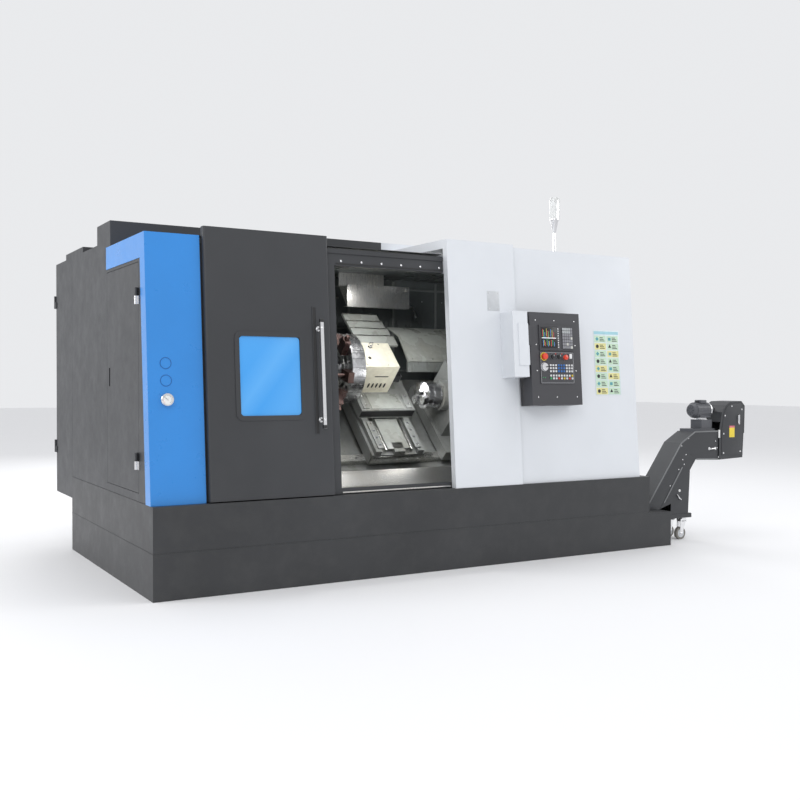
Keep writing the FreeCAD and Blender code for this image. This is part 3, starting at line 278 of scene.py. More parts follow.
def lensPlastic():
    # clear ribbed signal lens with a milky core
    paint = Paint("lens")
    ribs = paint.add("ShaderNodeTexWave", {"bands_direction": "Z"}, {"Vector": paint.place, "Scale": 60.0})
    finishes["lens"] = paint.done((0.92, 0.93, 0.92), 0.12, 0.0, paint.bump(ribs, 0.4, 0.001),
            **{"Transmission Weight": 0.55, "IOR": 1.46})


lensPlastic()
slotFinish = {"base_paint": "basePaint", "dark_paint": "darkPaint", "blue_paint": "bluePaint",
        "white_paint": "whitePaint", "cream_paint": "creamPaint", "grey_paint": "motorPaint",
        "inner_paint": "innerPaint", "cast_grey": "castGrey", "ground_steel": "groundSteel",
        "stainless": "stainless", "chuck_steel": "chuckSteel", "tool_steel": "toolSteel",
        "bright_metal": "brightMetal", "satin_aluminium": "satinAluminium", "window_glass": "windowGlass",
        "lens": "lens", "panel_plastic": "panelPlastic", "red_plastic": "redPlastic",
        "black_plastic": "blackPlastic", "white_plastic": "whitePlastic", "caster_rubber": "casterRubber"}
for part in frame["record"]["subparts"]:
    node = nodes[part["node"]]
    node.data.materials.clear()
    node.data.materials.append(finishes[slotFinish[part["material_slot"]]])
print("finishes:", len(finishes))


def block(bm, low, size, mat=0, edge=0.0, steps=2):
    made = bmesh.ops.create_cube(bm, size=1.0)["verts"]
    middle = Vector(low) + Vector(size) / 2
    bmesh.ops.scale(bm, vec=Vector(size), verts=made)
    bmesh.ops.translate(bm, vec=middle, verts=made)
    return dress(bm, made, mat, edge, steps)


def facesOf(verts):
    return list(dict.fromkeys(f for v in verts for f in v.link_faces))  # in the same order each run


def dress(bm, made, mat, edge=0.0, steps=2):
    faces = facesOf(made)
    for f in faces:
        f.material_index = mat
    if edge:
        sharp = (e for f in faces for e in f.edges if e.is_manifold and e.calc_face_angle(0) > 0.5)
        edges = list(dict.fromkeys(sharp))
        soft = bmesh.ops.bevel(bm, geom=edges, offset=edge, offset_type="OFFSET", affect="EDGES",
                segments=steps, profile=0.5, material=-1, clamp_overlap=True)
        made = list(dict.fromkeys((*(v for v in made if v.is_valid), *soft["verts"])))
    return made


axisTurns = {"x": Matrix.Rotation(math.pi / 2, 3, "Y"), "y": Matrix.Rotation(-math.pi / 2, 3, "X"),
        "z": Matrix.Identity(3), "-x": Matrix.Rotation(-math.pi / 2, 3, "Y"),
        "-y": Matrix.Rotation(math.pi / 2, 3, "X")}


def rod(bm, start, radius, length, along="z", mat=0, sides=32):
    made = bmesh.ops.create_cone(bm, cap_ends=True, segments=sides, radius1=radius, radius2=radius,
            depth=length)["verts"]
    bmesh.ops.translate(bm, vec=(0, 0, length / 2), verts=made)
    bmesh.ops.rotate(bm, cent=(0, 0, 0), matrix=axisTurns[along], verts=made)
    bmesh.ops.translate(bm, vec=start, verts=made)
    return dress(bm, made, mat)


def lathe(bm, points, start=(0, 0, 0), along="z", mat=0, steps=40):
    if points[0][0] > 0 and points[-1][0] > 0:
        points = (*points, points[0])
    before = set(bm.verts)
    chain = [bm.verts.new((r, 0, h)) for r, h in points]
    edges = [bm.edges.new(pair) for pair in zip(chain, chain[1:])]
    bmesh.ops.spin(bm, geom=chain + edges, cent=(0, 0, 0), axis=(0, 0, 1), dvec=(0, 0, 0), angle=math.tau,
            steps=steps, use_merge=True, use_duplicate=False)
    made = [v for v in bm.verts if v not in before]
    bmesh.ops.remove_doubles(bm, verts=made, dist=1e-6)  # closes the poles
    made = [v for v in bm.verts if v not in before]
    bmesh.ops.recalc_face_normals(bm, faces=facesOf(made))
    bmesh.ops.rotate(bm, cent=(0, 0, 0), matrix=axisTurns[along], verts=made)
    bmesh.ops.translate(bm, vec=start, verts=made)
    return dress(bm, made, mat)


def pan(bm, size, spot, along, mat=0, steps=16):
    # a low head: its radius, the radius and height of its upper edge, the height of its middle
    radius, upper, edge, crown = size
    return lathe(bm, ((0, 0), (radius, 0), (upper, edge), (0, crown)), spot, along, mat, steps)


def cap(bm, size, spot, along, mat=0, steps=16):
    # a socket head: its radius and height, the radius and floor of its socket
    radius, high, socket, floor = size
    return lathe(bm, ((0, 0), (radius, 0), (radius, high), (socket, high), (socket, floor), (0, floor)),
            spot, along, mat, steps)


def hoop(bm, radius, width, depth, spot, along, mat=0, steps=48):
    inner = radius - width
    return lathe(bm, ((inner, 0), (radius, 0), (radius, depth), (inner, depth)), spot, along, mat, steps)


def around(count, shift=0):
    # even angles round a full turn, from a shift in degrees
    return [math.radians(360 * step / count + shift) for step in range(count)]


def turned(bm, made, angle, axis="X", spot=(0, 0, 0)):
    # turned about the origin, then moved to its spot
    bmesh.ops.rotate(bm, cent=(0, 0, 0), matrix=Matrix.Rotation(angle, 3, axis), verts=made)
    return moved(bm, made, spot)


def moved(bm, made, vec):
    bmesh.ops.translate(bm, vec=vec, verts=made)
    return made


def slab(bm, points, along, start, length, mat=0, edge=0.0, steps=2):
    # a flat outline of (first, second) points pushed along x or y
    lift = (lambda p: (start, p[0], p[1])) if along == "x" else (lambda p: (p[0], start, p[1]))
    face = bm.faces.new([bm.verts.new(lift(p)) for p in points])
    grown = bmesh.ops.extrude_face_region(bm, geom=[face])["geom"]
    tip = [v for v in grown if isinstance(v, bmesh.types.BMVert)]
    bmesh.ops.translate(bm, vec=(length, 0, 0) if along == "x" else (0, length, 0), verts=tip)
    made = list(face.verts) + tip
    bmesh.ops.recalc_face_normals(bm, faces=facesOf(made))
    return dress(bm, made, mat, edge, steps)


def frameOf(bm, spot, radius, width, front, depth, mat=0, edge=0.0):
    # a round-cornered frame that reaches from front inwards
    left, low, wide, high = spot
    before = set(bm.verts)
    corners = [bm.verts.new((x, front, z)) for x, z in ((left, low), (left + wide, low),
            (left + wide, low + high), (left, low + high))]
    old = set(bm.faces)
    bm.faces.new(corners)
    if radius:
        bmesh.ops.bevel(bm, geom=corners, offset=radius, offset_type="OFFSET", segments=8, profile=0.5,
                affect="VERTICES", material=-1)
    middle = [f for f in bm.faces if f not in old]
    bmesh.ops.inset_region(bm, faces=middle, thickness=width, use_even_offset=True, use_boundary=True)
    bmesh.ops.delete(bm, geom=middle, context="FACES")
    rim = [f for f in bm.faces if f not in old]
    grown = bmesh.ops.extrude_face_region(bm, geom=rim)["geom"]
    bmesh.ops.translate(bm, vec=(0, depth, 0), verts=[v for v in grown if isinstance(v,
            bmesh.types.BMVert)])
    made = [v for v in bm.verts if v not in before]
    bmesh.ops.recalc_face_normals(bm, faces=facesOf(made))
    return dress(bm, made, mat, edge)


def tube(bm, path, radius, mat=0, sides=12):
    # a round bar or hose through the points, with its corners rounded by a curve
    curve = bpy.data.curves.new("path", "CURVE")
    curve.dimensions = "3D"
    line = curve.splines.new("NURBS")
    line.points.add(len(path) - 1)
    for point, spot in zip(line.points, path):
        point.co = (*spot, 1)
    line.order_u = 3
    line.use_endpoint_u = True
    curve.bevel_depth = radius
    curve.bevel_resolution = max(1, sides // 4 - 1)
    curve.resolution_u = 8
    curve.use_fill_caps = True
    holder = bpy.data.objects.new("path", curve)
    mesh = bpy.data.meshes.new_from_object(holder)
    before = set(bm.verts)
    bm.from_mesh(mesh)
    made = [v for v in bm.verts if v not in before]
    bpy.data.objects.remove(holder)
    bpy.data.meshes.remove(mesh)
    bpy.data.curves.remove(curve)
    return dress(bm, made, mat)


def piece(name, bm, body, mats, space):
    bm.transform(space)
    mesh = bpy.data.meshes.new(name)
    bm.to_mesh(mesh)
    bm.free()
    made = bpy.data.objects.new(name, mesh)
    bpy.context.collection.objects.link(made)
    for mat in mats if isinstance(mats, list) else [mats]:
        mesh.materials.append(finishes[mat])
    mesh.set_sharp_from_angle(angle=0.6)
    for polygon in mesh.polygons:
        polygon.use_smooth = True
    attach(made, body)


def enclosureFront():
    # window moulding with its seal, a dark strip of painted shade by the handle, and the handle's ends on
    # the sliding door
    door = {"left": 0.54, "low": 0.50, "width": 0.44, "height": 0.525, "front": 0.012}
    bm = bmesh.new()
    frameOf(bm, (door["left"] - 0.012, door["low"] - 0.012, door["width"] + 0.024, door["height"] + 0.024),
            0.045, 0.030, door["front"] - 0.004, 0.013, 0)
    frameOf(bm, (door["left"] + 0.008, door["low"] + 0.008, door["width"] - 0.016, door["height"] - 0.016),
            0.036, 0.010, door["front"] + 0.0015, 0.012, 1)
    piece("windowMoulding", bm, "sliding_door", ["darkPaint", "rubberSeal"], frontSpace)
    # a dark strip behind the handle, painted shade standing for its recess, its rims and the seats of the
    # handle's feet
    strip = {"left": 1.058, "low": 0.40, "width": 0.020, "height": 0.80}
    bm = bmesh.new()
    # painted shade: a flat dark sheet where the handle's recess lies in shade
    block(bm, (strip["left"], 0.0095, strip["low"]), (strip["width"], 0.003, strip["height"]), 0, 0.001)
    for step in range(2):
        block(bm, (strip["left"] - 0.004 + step * (strip["width"] + 0.004), 0.008, strip["low"] - 0.004),
                (0.004, 0.005, strip["height"] + 0.008), 1, 0.001)
    for high in (0.486, 1.064):
        lathe(bm, ((0, 0), (0.016, 0), (0.016, 0.003), (0.011, 0.006), (0.0, 0.006)), (1.093, 0.012, high),
                "-y", 2, 24)
    piece("handleRecessShadeAndSeats", bm, "sliding_door", ["rubberSeal", "darkPaint", "satinAluminium"], frontSpace)
    bm = bmesh.new()
    for low in (0.43, 1.10):
        block(bm, (1.080, -0.052, low), (0.026, 0.020, 0.022), 0, 0.004, 3)
    for high in (0.486, 1.064):
        lathe(bm, ((0.0, 0.0), (0.0075, 0), (0.0075, 0.004), (0.004, 0.006), (0.0, 0.0045)),
                (1.093, -0.050, high), "-y", 1, 20)
    piece("handleEnds", bm, "sliding_door", ["blackPlastic", "brightMetal"], frontSpace)


def blueCorner():
    # knock-out rings, the seam of the small cover, and the pressure gauge
    marks = {"rings": ((0.110, 0.735), (0.110, 0.838)), "radius": 0.035,
            "cover": (0.270, 0.551, 0.066, 0.366)}
    bm = bmesh.new()
    for x, z in marks["rings"]:
        lathe(bm, ((marks["radius"], 0.0), (marks["radius"], 0.0016), (marks["radius"] - 0.0035, 0.0016),
                (marks["radius"] - 0.0035, 0.0)), (x, 0.0449, z), "-y", 0, 48)
        pan(bm, (0.031, 0.030, 0.0012, 0.0015), (x, 0.0449, z), "-y", 1, 40)
    piece("knockOuts", bm, "machine", ["blueShade", "bluePaint"], frontSpace)
    bm = bmesh.new()
    left, low, width, height = marks["cover"]
    frameOf(bm, (left - 0.001, low, width - 0.010, height), 0.004, 0.0025, 0.0449, 0.0014, 0)
    piece("coverSeam", bm, "machine", "blueShade", frontSpace)
    # gauge: bright bezel, white dial with strokes, red band, needle
    spot = Vector((0.110, 0.0249, 0.622))
    bm = bmesh.new()
    lathe(bm, ((0.030, -0.001), (0.038, -0.001), (0.0385, 0.004), (0.036, 0.008), (0.032, 0.0075),
            (0.0305, 0.003)), spot, "-y", 0, 56)
    pan(bm, (0.0305, 0.0305, 0.0016, 0.0016), spot, "-y", 1, 48)
    for step in range(25):
        angle = math.radians(225 - 270 * step / 24)
        long = 0.0065 if step % 4 == 0 else 0.0035
        made = block(bm, (-0.0005, -0.0026, 0.0275 - long), (0.001, 0.001, long), 2 if step < 19 else 3)
        turned(bm, made, angle - math.pi / 2, "Y", spot)
    needle = block(bm, (-0.0008, -0.0044, -0.006), (0.0016, 0.0008, 0.028), 2)
    turned(bm, needle, math.radians(-52), "Y", spot)
    pan(bm, (0.0038, 0.0038, 0.0048, 0.0052), spot, "-y", 0, 20)
    piece("gaugeFace", bm, "machine", ["brightMetal", "dialWhite", "blackPlastic", "redPlastic"],
            frontSpace)


def headerAndSills():
    # screws and seal of the dark header, and the door's lower guide
    head = {"rows": (1.522, 1.587), "from": 1.30, "to": 2.06, "count": 6, "front": 0.0618,
            "screw": ((0, 0), (0.007, 0), (0.007, 0.002), (0.004, 0.0042), (0.0, 0.0032)),
            "seal": (1.26, 0.0590, 1.5005), "guide": (1.255, 0.058, 0.012)}
    bm = bmesh.new()
    for step in range(head["count"]):
        x = head["from"] + (head["to"] - head["from"]) * step / (head["count"] - 1)
        for high in head["rows"]:
            lathe(bm, head["screw"], (x, head["front"], high), "-y", 0, 18)
    block(bm, head["seal"], (0.82, 0.003, 0.008), 1, 0.001)
    block(bm, head["guide"], (0.830, 0.004, 0.010), 2, 0.0012)
    piece("headerScrews", bm, "machine", ["brightMetal", "rubberSeal", "stainless"], frontSpace)


def hoodDetail():
    # small plate above the panel's arm, with four screws
    plate = {"left": 2.415, "low": 1.232, "width": 0.104, "height": 0.140}
    bm = bmesh.new()
    block(bm, (plate["left"], 0.0032, plate["low"]), (plate["width"], 0.0022, plate["height"]), 0, 0.001)
    for x in (0.012, plate["width"] - 0.012):
        for z in (0.014, plate["height"] - 0.014):
            pan(bm, (0.0045, 0.004, 0.0018, 0.0022), (plate["left"] + x, 0.0034, plate["low"] + z), "-y", 1,
                    14)
    piece("hoodPlate", bm, "machine", ["paleGrey", "brightMetal"], frontSpace)


def tilesChart():
    # a plain chart of coloured tiles with simple shapes, in two columns
    chart = {"left": 3.396, "low": 0.632, "width": 0.254, "height": 0.492, "rows": 8, "front": 0.0245}
    bm = bmesh.new()
    block(bm, (chart["left"], chart["front"] - 0.0012, chart["low"]),
            (chart["width"], 0.0012, chart["height"]), 0, 0.0003)
    block(bm, (chart["left"] + 0.006, chart["front"] - 0.0018, chart["low"] + chart["height"] - 0.030),
            (chart["width"] - 0.012, 0.001, 0.022), 1)
    rowHigh = (chart["height"] - 0.040) / chart["rows"]
    for row in range(chart["rows"]):
        for column in range(2):
            x = chart["left"] + 0.008 + column * (chart["width"] - 0.008) / 2
            z = chart["low"] + 0.006 + row * rowHigh
            block(bm, (x, chart["front"] - 0.0018, z), (chart["width"] / 2 - 0.014, 0.001, rowHigh - 0.007),
                    2 if (row + column) % 3 else 3)
            shape = (row * 2 + column) % 4
            spot = (x + 0.026, chart["front"] - 0.0019, z + (rowHigh - 0.007) / 2)
            if shape == 0:
                rod(bm, spot, 0.014, 0.0008, "-y", 4, 20)
            elif shape == 1:
                rod(bm, spot, 0.017, 0.0008, "-y", 4, 3)
            elif shape == 2:
                rod(bm, spot, 0.016, 0.0008, "-y", 5, 4)
            else:
                block(bm, (spot[0] - 0.013, spot[1] - 0.0008, spot[2] - 0.011), (0.026, 0.0008, 0.022), 5)
            for line in range(3):
                block(bm, (x + 0.052, chart["front"] - 0.0024, z + 0.008 + line * 0.012),
                        (0.048 - 0.008 * line, 0.0006, 0.005), 4)
    piece("tilesChart", bm, "machine", ["chartWhite", "chartBlue", "chartGreen", "chartYellow",
            "blackPlastic", "chartTeal"], frontSpace)


def controlPanel():
    # display, soft keys, key block, operator plate, edges and screws
    glass = {"left": 0.094, "low": 0.407, "width": 0.142, "height": 0.148, "front": -0.0091}
    bm = bmesh.new()
    block(bm, (glass["left"], glass["front"] - 0.0006, glass["low"]),
            (glass["width"], 0.0006, glass["height"]), 0, 0.0002)
    lines = (0.012, 0.020, 0.031, 0.046, 0.058, 0.066, 0.084, 0.097, 0.112)
    for step, x in enumerate(lines):
        block(bm, (glass["left"] + x, glass["front"] - 0.0010, glass["low"] + 0.082 - 0.01 * (step % 3)),
                (0.0022, 0.0004, 0.052 + 0.005 * (step % 2)), 1 + step % 4)
        block(bm, (glass["left"] + x + 0.003, glass["front"] - 0.0010,
                glass["low"] + 0.012 + 0.006 * (step % 2)), (0.0022, 0.0004, 0.046 - 0.007 * (step % 3)),
                1 + (step + 2) % 4)
    block(bm, (glass["left"] + 0.004, glass["front"] - 0.0011, glass["low"] + 0.070),
            (0.128, 0.0005, 0.0032), 5)
    piece("display", bm, "panel", ["screenBlack", "glowRed", "glowGreen", "glowBlue", "glowYellow",
            "glowWhite"], faceSpace)
    bm = bmesh.new()
    for row in range(9):
        block(bm, (0.2435, -0.0100, 0.409 + row * 0.0165), (0.0085, 0.0022, 0.0095), 0, 0.0012, 2)
    keyBlock = {"left": 0.284, "low": 0.405, "columns": 5, "rows": 7, "pitchX": 0.0189, "pitchZ": 0.0218}
    for row in range(keyBlock["rows"]):
        for column in range(keyBlock["columns"]):
            tone = 3 if row in (5, 6) and column < 4 else (2 if (row, column) in ((0, 4), (3, 4),
                    (1, 2)) else 1)
            block(bm, (keyBlock["left"] + column * keyBlock["pitchX"], -0.0128,
                    keyBlock["low"] + row * keyBlock["pitchZ"]), (0.0165, 0.0022, 0.0185), tone, 0.0014, 2)
    piece("softKeys", bm, "panel", ["keyWhite", "keyGrey", "keyPale", "keyLight"], faceSpace)
    # operator keys: white rows with a blue block, a green and a red one
    bm = bmesh.new()
    for row in range(5):
        for column in range(9):
            tone = 0
            if row < 3 and 3 <= column <= 5:
                tone = 1
            if (row, column) == (4, 0):
                tone = 2
            if (row, column) in ((4, 3), (4, 7)):
                tone = 3
            if (row, column) in ((4, 5), (3, 8)):
                tone = 4
            x, z = 0.1600 + 0.0244 * column, (0.277, 0.256, 0.234, 0.203, 0.183)[row]
            block(bm, (x + 0.0004, -0.0094, z + 0.0004), (0.0152, 0.0022, 0.0132), tone, 0.0012, 2)
            block(bm, (x + 0.0050, -0.0097, z + 0.0062), (0.0060, 0.0004, 0.0016), 5)
    piece("operatorKeys", bm, "panel", ["keyWhite", "keyBlue", "keyGreen", "keyRed", "keyYellow",
            "blackPlastic"], faceSpace)
    # outline of the plate, small lamps, bezel rims and face screws
    bm = bmesh.new()
    frameOf(bm, (0.083, 0.157, 0.298, 0.218), 0.006, 0.0016, -0.0052, 0.0008, 0)
    frameOf(bm, (0.0865, 0.3985, 0.157, 0.165), 0.005, 0.0035, -0.0084, 0.0022, 1)
    for x, z in ((0.053, 0.057), (0.053, 0.245), (0.053, 0.430), (0.053, 0.605), (0.222, 0.605),
            (0.407, 0.605), (0.407, 0.430), (0.407, 0.245), (0.407, 0.057), (0.222, 0.057)):
        lathe(bm, ((0, 0), (0.0048, 0), (0.0048, 0.0012), (0.0032, 0.0028), (0.0, 0.0022)), (x, -0.0002, z),
                "-y", 2, 16)
    for x in (0.219, 0.276):
        pan(bm, (0.0045, 0.0045, 0.003, 0.0045), (x, -0.0052, 0.366), "-y", 3, 14)
    for x in (0.098, 0.116):
        pan(bm, (0.0036, 0.0036, 0.0026, 0.0038), (x, -0.0052, 0.196), "-y", 4, 14)
    piece("panelTrim", bm, "panel", ["paleGrey", "blackPlastic", "brightMetal", "keyRed", "keyGreen"],
            faceSpace)


dials = {"stop": (0.112, 0.346), "wheel": (0.113, 0.272), "feed_knob": (0.190, 0.346),
        "spindle_knob": (0.248, 0.346), "mode_knob": (0.307, 0.342), "plate": -0.0050, "gap": -0.0052,
        "knob": 0.0154, "modeKnob": 0.0184}


def dialPieces():
    # e-stop mushroom, knurled knobs with pointers, handwheel and push button
    stop, wheel = dials["stop"], dials["wheel"]
    bm = bmesh.new()
    lathe(bm, ((0.006, 0.0), (0.0222, 0.0), (0.0226, 0.005), (0.0210, 0.0100), (0.0165, 0.0145),
            (0.009, 0.0166), (0.0, 0.0172)), (stop[0], -0.0102, stop[1]), "-y", 0, 48)
    for angle in around(3):
        made = block(bm, (-0.0018, -0.0272, 0.0085), (0.0036, 0.004, 0.006), 1, 0.0006)
        turned(bm, made, angle, "Y", (stop[0], 0.0012, stop[1]))
    piece("stopMushroom", bm, "e_stop", ["redPlastic", "creamMark"], faceSpace)
    bm = bmesh.new()
    lathe(bm, ((0.0238, 0.0), (0.0300, 0.0), (0.0300, 0.0014), (0.0250, 0.0026), (0.0238, 0.0024)),
            (stop[0], dials["plate"], stop[1]), "-y", 0, 48)
    lathe(bm, ((0.0272, 0.0), (0.031, 0.0), (0.031, 0.0014), (0.0276, 0.0024)),
            (wheel[0], dials["plate"], wheel[1]), "-y", 1, 48)
    for knob, reach in (("feed_knob", 0.0175), ("spindle_knob", 0.0175), ("mode_knob", 0.0205)):
        for step in range(11):
            made = block(bm, (-0.0006, -0.0008, reach), (0.0012, 0.0006, 0.0036), 1)
            turned(bm, made, math.radians(-135 + 27 * step), "Y",
                    (dials[knob][0], dials["plate"], dials[knob][1]))
    piece("dialRings", bm, "panel", ["keyYellow", "paleGrey"], faceSpace)
    for name, size, mat in (("feed_knob", dials["knob"], "blackPlastic"),
            ("spindle_knob", dials["knob"], "blackPlastic"),
            ("mode_knob", dials["modeKnob"], "redPlastic")):
        x, z = dials[name]
        bm = bmesh.new()
        lathe(bm, ((0.005, 0.0), (size, 0.0), (size, 0.003), (size - 0.0015, 0.005),
                (size - 0.0025, 0.0135), (size - 0.004, 0.0145), (0.0, 0.0146)), (x, dials["gap"], z), "-y",
                0, 40)
        for angle in around(18):
            made = block(bm, (-0.0009, -0.0135, size - 0.0030), (0.0018, 0.0085, 0.0020), 0, 0.0004, 1)
            turned(bm, made, angle, "Y", (x, dials["gap"], z))
        block(bm, (x - 0.0012, -0.0250, z + 0.001), (0.0024, 0.0014, 0.0125), 1, 0.0003)
        piece(name.replace("_k", "K") + "Cap", bm, name, [mat, "keyWhite"], faceSpace)
    bm = bmesh.new()
    lathe(bm, ((0.006, 0.0), (0.0265, 0.0), (0.0274, 0.003), (0.0274, 0.009), (0.0258, 0.0130),
            (0.0215, 0.0128), (0.0200, 0.0124), (0.009, 0.0135), (0.0, 0.014)),
            (wheel[0], dials["gap"], wheel[1]), "-y", 0, 56)
    for angle in around(36):
        made = block(bm, (-0.0008, -0.0080, 0.0268), (0.0016, 0.0050, 0.0011), 0)
        turned(bm, made, angle, "Y", (wheel[0], dials["gap"], wheel[1]))
    lathe(bm, ((0.0, 0.0), (0.0042, 0.0), (0.0046, 0.006), (0.0042, 0.0125), (0.0025, 0.0145),
            (0.0, 0.015)), (0.129, -0.0190, 0.272), "-y", 1, 24)
    piece("wheelRim", bm, "handwheel", ["brightMetal", "blackPlastic"], faceSpace)
    bm = bmesh.new()
    made = lathe(bm, ((0.0, 0.0), (0.0095, 0.0), (0.0095, 0.0010), (0.007, 0.0022), (0.0, 0.0026)),
            (0, 0, 0), "-y", 0, 32)
    bmesh.ops.scale(bm, vec=(1.0, 1.0, 1.7), verts=made)
    moved(bm, made, (0.354, -0.0119, 0.350))
    piece("buttonCap", bm, "power_switch", "keyWhite", faceSpace)


def workLining():
    # the work room's lining: bright cover sheet, wall seams and screws, fixed way cover
    lining = {"sheet": (1.846, 1.146, 1.850), "sheetSize": (0.552, 0.004, 0.172), "wall": 1.599,
            "seams": (1.02, 1.36, 1.70, 2.04), "coverLeft": 2.300, "coverLong": 1.190}
    bm = bmesh.new()
    block(bm, lining["sheet"], lining["sheetSize"], 0, 0.0015)
    block(bm, (1.846, 1.150, 1.850), (0.552, 0.060, 0.003), 0, 0.001)
    for step in range(5):
        pan(bm, (0.006, 0.0055, 0.002, 0.003), (1.87 + step * 0.125, 1.146, 2.008), "-y", 1, 14)
    piece("coverSheet", bm, "machine", ["stainless", "brightMetal"], machineSpace)
    bm = bmesh.new()
    for low in lining["seams"]:
        block(bm, (1.16, lining["wall"] - 0.007, low), (2.26, 0.007, 0.016), 0, 0.003)
    for step in range(6):
        block(bm, (1.24 + step * 0.42, lining["wall"] - 0.010, 0.92), (0.020, 0.010, 1.19), 0, 0.003)
    for row in range(4):
        for step in range(12):
            pan(bm, (0.007, 0.0065, 0.003, 0.0045), (1.19 + step * 0.2, lining["wall"] - 0.004,
                    1.085 + row * 0.29), "-y", 1, 12)
    piece("wallSeams", bm, "machine", ["linerPaint", "brightMetal"], machineSpace)
    # fixed way cover that runs to the right behind the second spindle
    bm = bmesh.new()
    slab(bm, ((1.006, 1.425), (0.985, 1.432), (0.985, 1.452), (1.150, 1.640), (1.330, 1.712),
            (1.330, 1.702), (1.156, 1.628)), "x", lining["coverLeft"], lining["coverLong"], 0, 0.002)
    block(bm, (lining["coverLeft"], 0.990, 1.350), (lining["coverLong"], 0.035, 0.078), 1, 0.004)
    for step in range(7):
        block(bm, (2.33 + step * 0.185, 0.981, 1.446), (0.006, 0.008, 0.012), 1, 0.001)
    piece("wayCoverRight", bm, "machine", ["coverGrey", "linerPaint"], machineSpace)


def turretHousingDetail():
    top = {"z": 0.145, "front": 0.1525, "eye": (1.935, 0.362), "plug": (1.892, 0.245), "vents": 5,
            "ventLeft": 1.918, "ventPitch": 0.034}
    bm = bmesh.new()
    # eye bolt
    lathe(bm, ((0.0, 0.0), (0.016, 0.0), (0.016, 0.005), (0.009, 0.008), (0.007, 0.014), (0.0, 0.014)),
            (*top["eye"], top["z"]), "z", 0, 28)
    before = set(bm.verts)
    profileRing = bmesh.ops.create_circle(bm, segments=10, radius=0.0055)["verts"]
    bmesh.ops.rotate(bm, cent=(0, 0, 0), matrix=Matrix.Rotation(math.pi / 2, 3, "X"), verts=profileRing)
    moved(bm, profileRing, (0.016, 0, 0))
    ringEdges = list(dict.fromkeys(e for v in profileRing for e in v.link_edges))
    bmesh.ops.spin(bm, geom=profileRing + ringEdges, cent=(0, 0, 0), axis=(0, 0, 1), dvec=(0, 0, 0),
            angle=math.tau, steps=28, use_merge=True, use_duplicate=False)
    loop = [v for v in bm.verts if v not in before]
    bmesh.ops.recalc_face_normals(bm, faces=facesOf(loop))
    turned(bm, loop, math.pi / 2, "X", (*top["eye"], top["z"] + 0.031))
    dress(bm, loop, 0)
    # plug and corner screws
    lathe(bm, ((0, 0), (0.013, 0), (0.013, 0.004), (0.010, 0.006), (0.006, 0.006), (0.006, 0.002),
            (0, 0.002)), (*top["plug"], top["z"]), "z", 1, 24)
    for x in (1.846, 2.020):
        for y in (0.172, 0.394):
            cap(bm, (0.006, 0.004, 0.003, 0.001), (x, y, top["z"]), "z", 0, 16)
    piece("eyeBolt", bm, "cross_slide", ["brightMetal", "blackPlastic"], slantSpace)
    # lid on the slope, slot and vents on the lower face
    bm = bmesh.new()
    block(bm, (1.840, 0.160, top["z"] - 0.001), (0.205, 0.244, 0.003), 0, 0.0015)
    block(bm, (1.838, top["front"] - 0.0025, -0.104), (0.222, 0.003, 0.240), 0, 0.0015)
    block(bm, (1.938, top["front"] - 0.0034, 0.040), (0.116, 0.003, 0.010), 1, 0.0008)
    for step in range(top["vents"]):
        x = top["ventLeft"] + step * top["ventPitch"]
        made = pan(bm, (0.0085, 0.0085, 0.001, 0.001), (0, 0, 0), "-y", 1, 24)
        bmesh.ops.scale(bm, vec=(1.0, 1.0, 3.4), verts=made)
        moved(bm, made, (x, top["front"] - 0.0024, -0.048))
        made = lathe(bm, ((0.0085, 0.0), (0.0115, 0.0), (0.0105, 0.0025), (0.0088, 0.002)), (0, 0, 0), "-y",
                0, 24)
        bmesh.ops.scale(bm, vec=(1.0, 1.0, 2.9), verts=made)
        moved(bm, made, (x, top["front"] - 0.0022, -0.048))
    piece("housingLids", bm, "cross_slide", ["creamPaint", "rubberSeal"], slantSpace)
    bm = bmesh.new()
    block(bm, (2.126, 0.165, -0.030), (0.055, 0.060, 0.062), 0, 0.006, 3)
    block(bm, (2.181, 0.182, -0.014), (0.020, 0.026, 0.030), 1, 0.004)
    piece("proximityBlock", bm, "cross_slide", ["blackPlastic", "brightMetal"], slantSpace)


def telescopeCover():
    # stepped sheet cover behind the turret housing, on the saddle; the housing rises over it
    cover = {"from": 0.400, "step": 0.098, "count": 4, "left": 1.862, "width": 0.340, "top": 0.138,
            "drop": 0.014}
    bm = bmesh.new()
    for part in range(cover["count"]):
        inset = part * 0.006
        high = cover["top"] - part * cover["drop"]
        block(bm, (cover["left"] + inset, cover["from"] + part * cover["step"], high - 0.022),
                (cover["width"] - 2 * inset, cover["step"] + 0.012, 0.022), 0, 0.002)
        block(bm, (cover["left"] + inset - 0.001, cover["from"] + part * cover["step"] + cover["step"],
                high - 0.004), (cover["width"] - 2 * inset + 0.002, 0.012, 0.006), 1, 0.002)
    piece("telescopeCover", bm, "saddle", ["coverGrey", "groundSteel"], slantSpace)


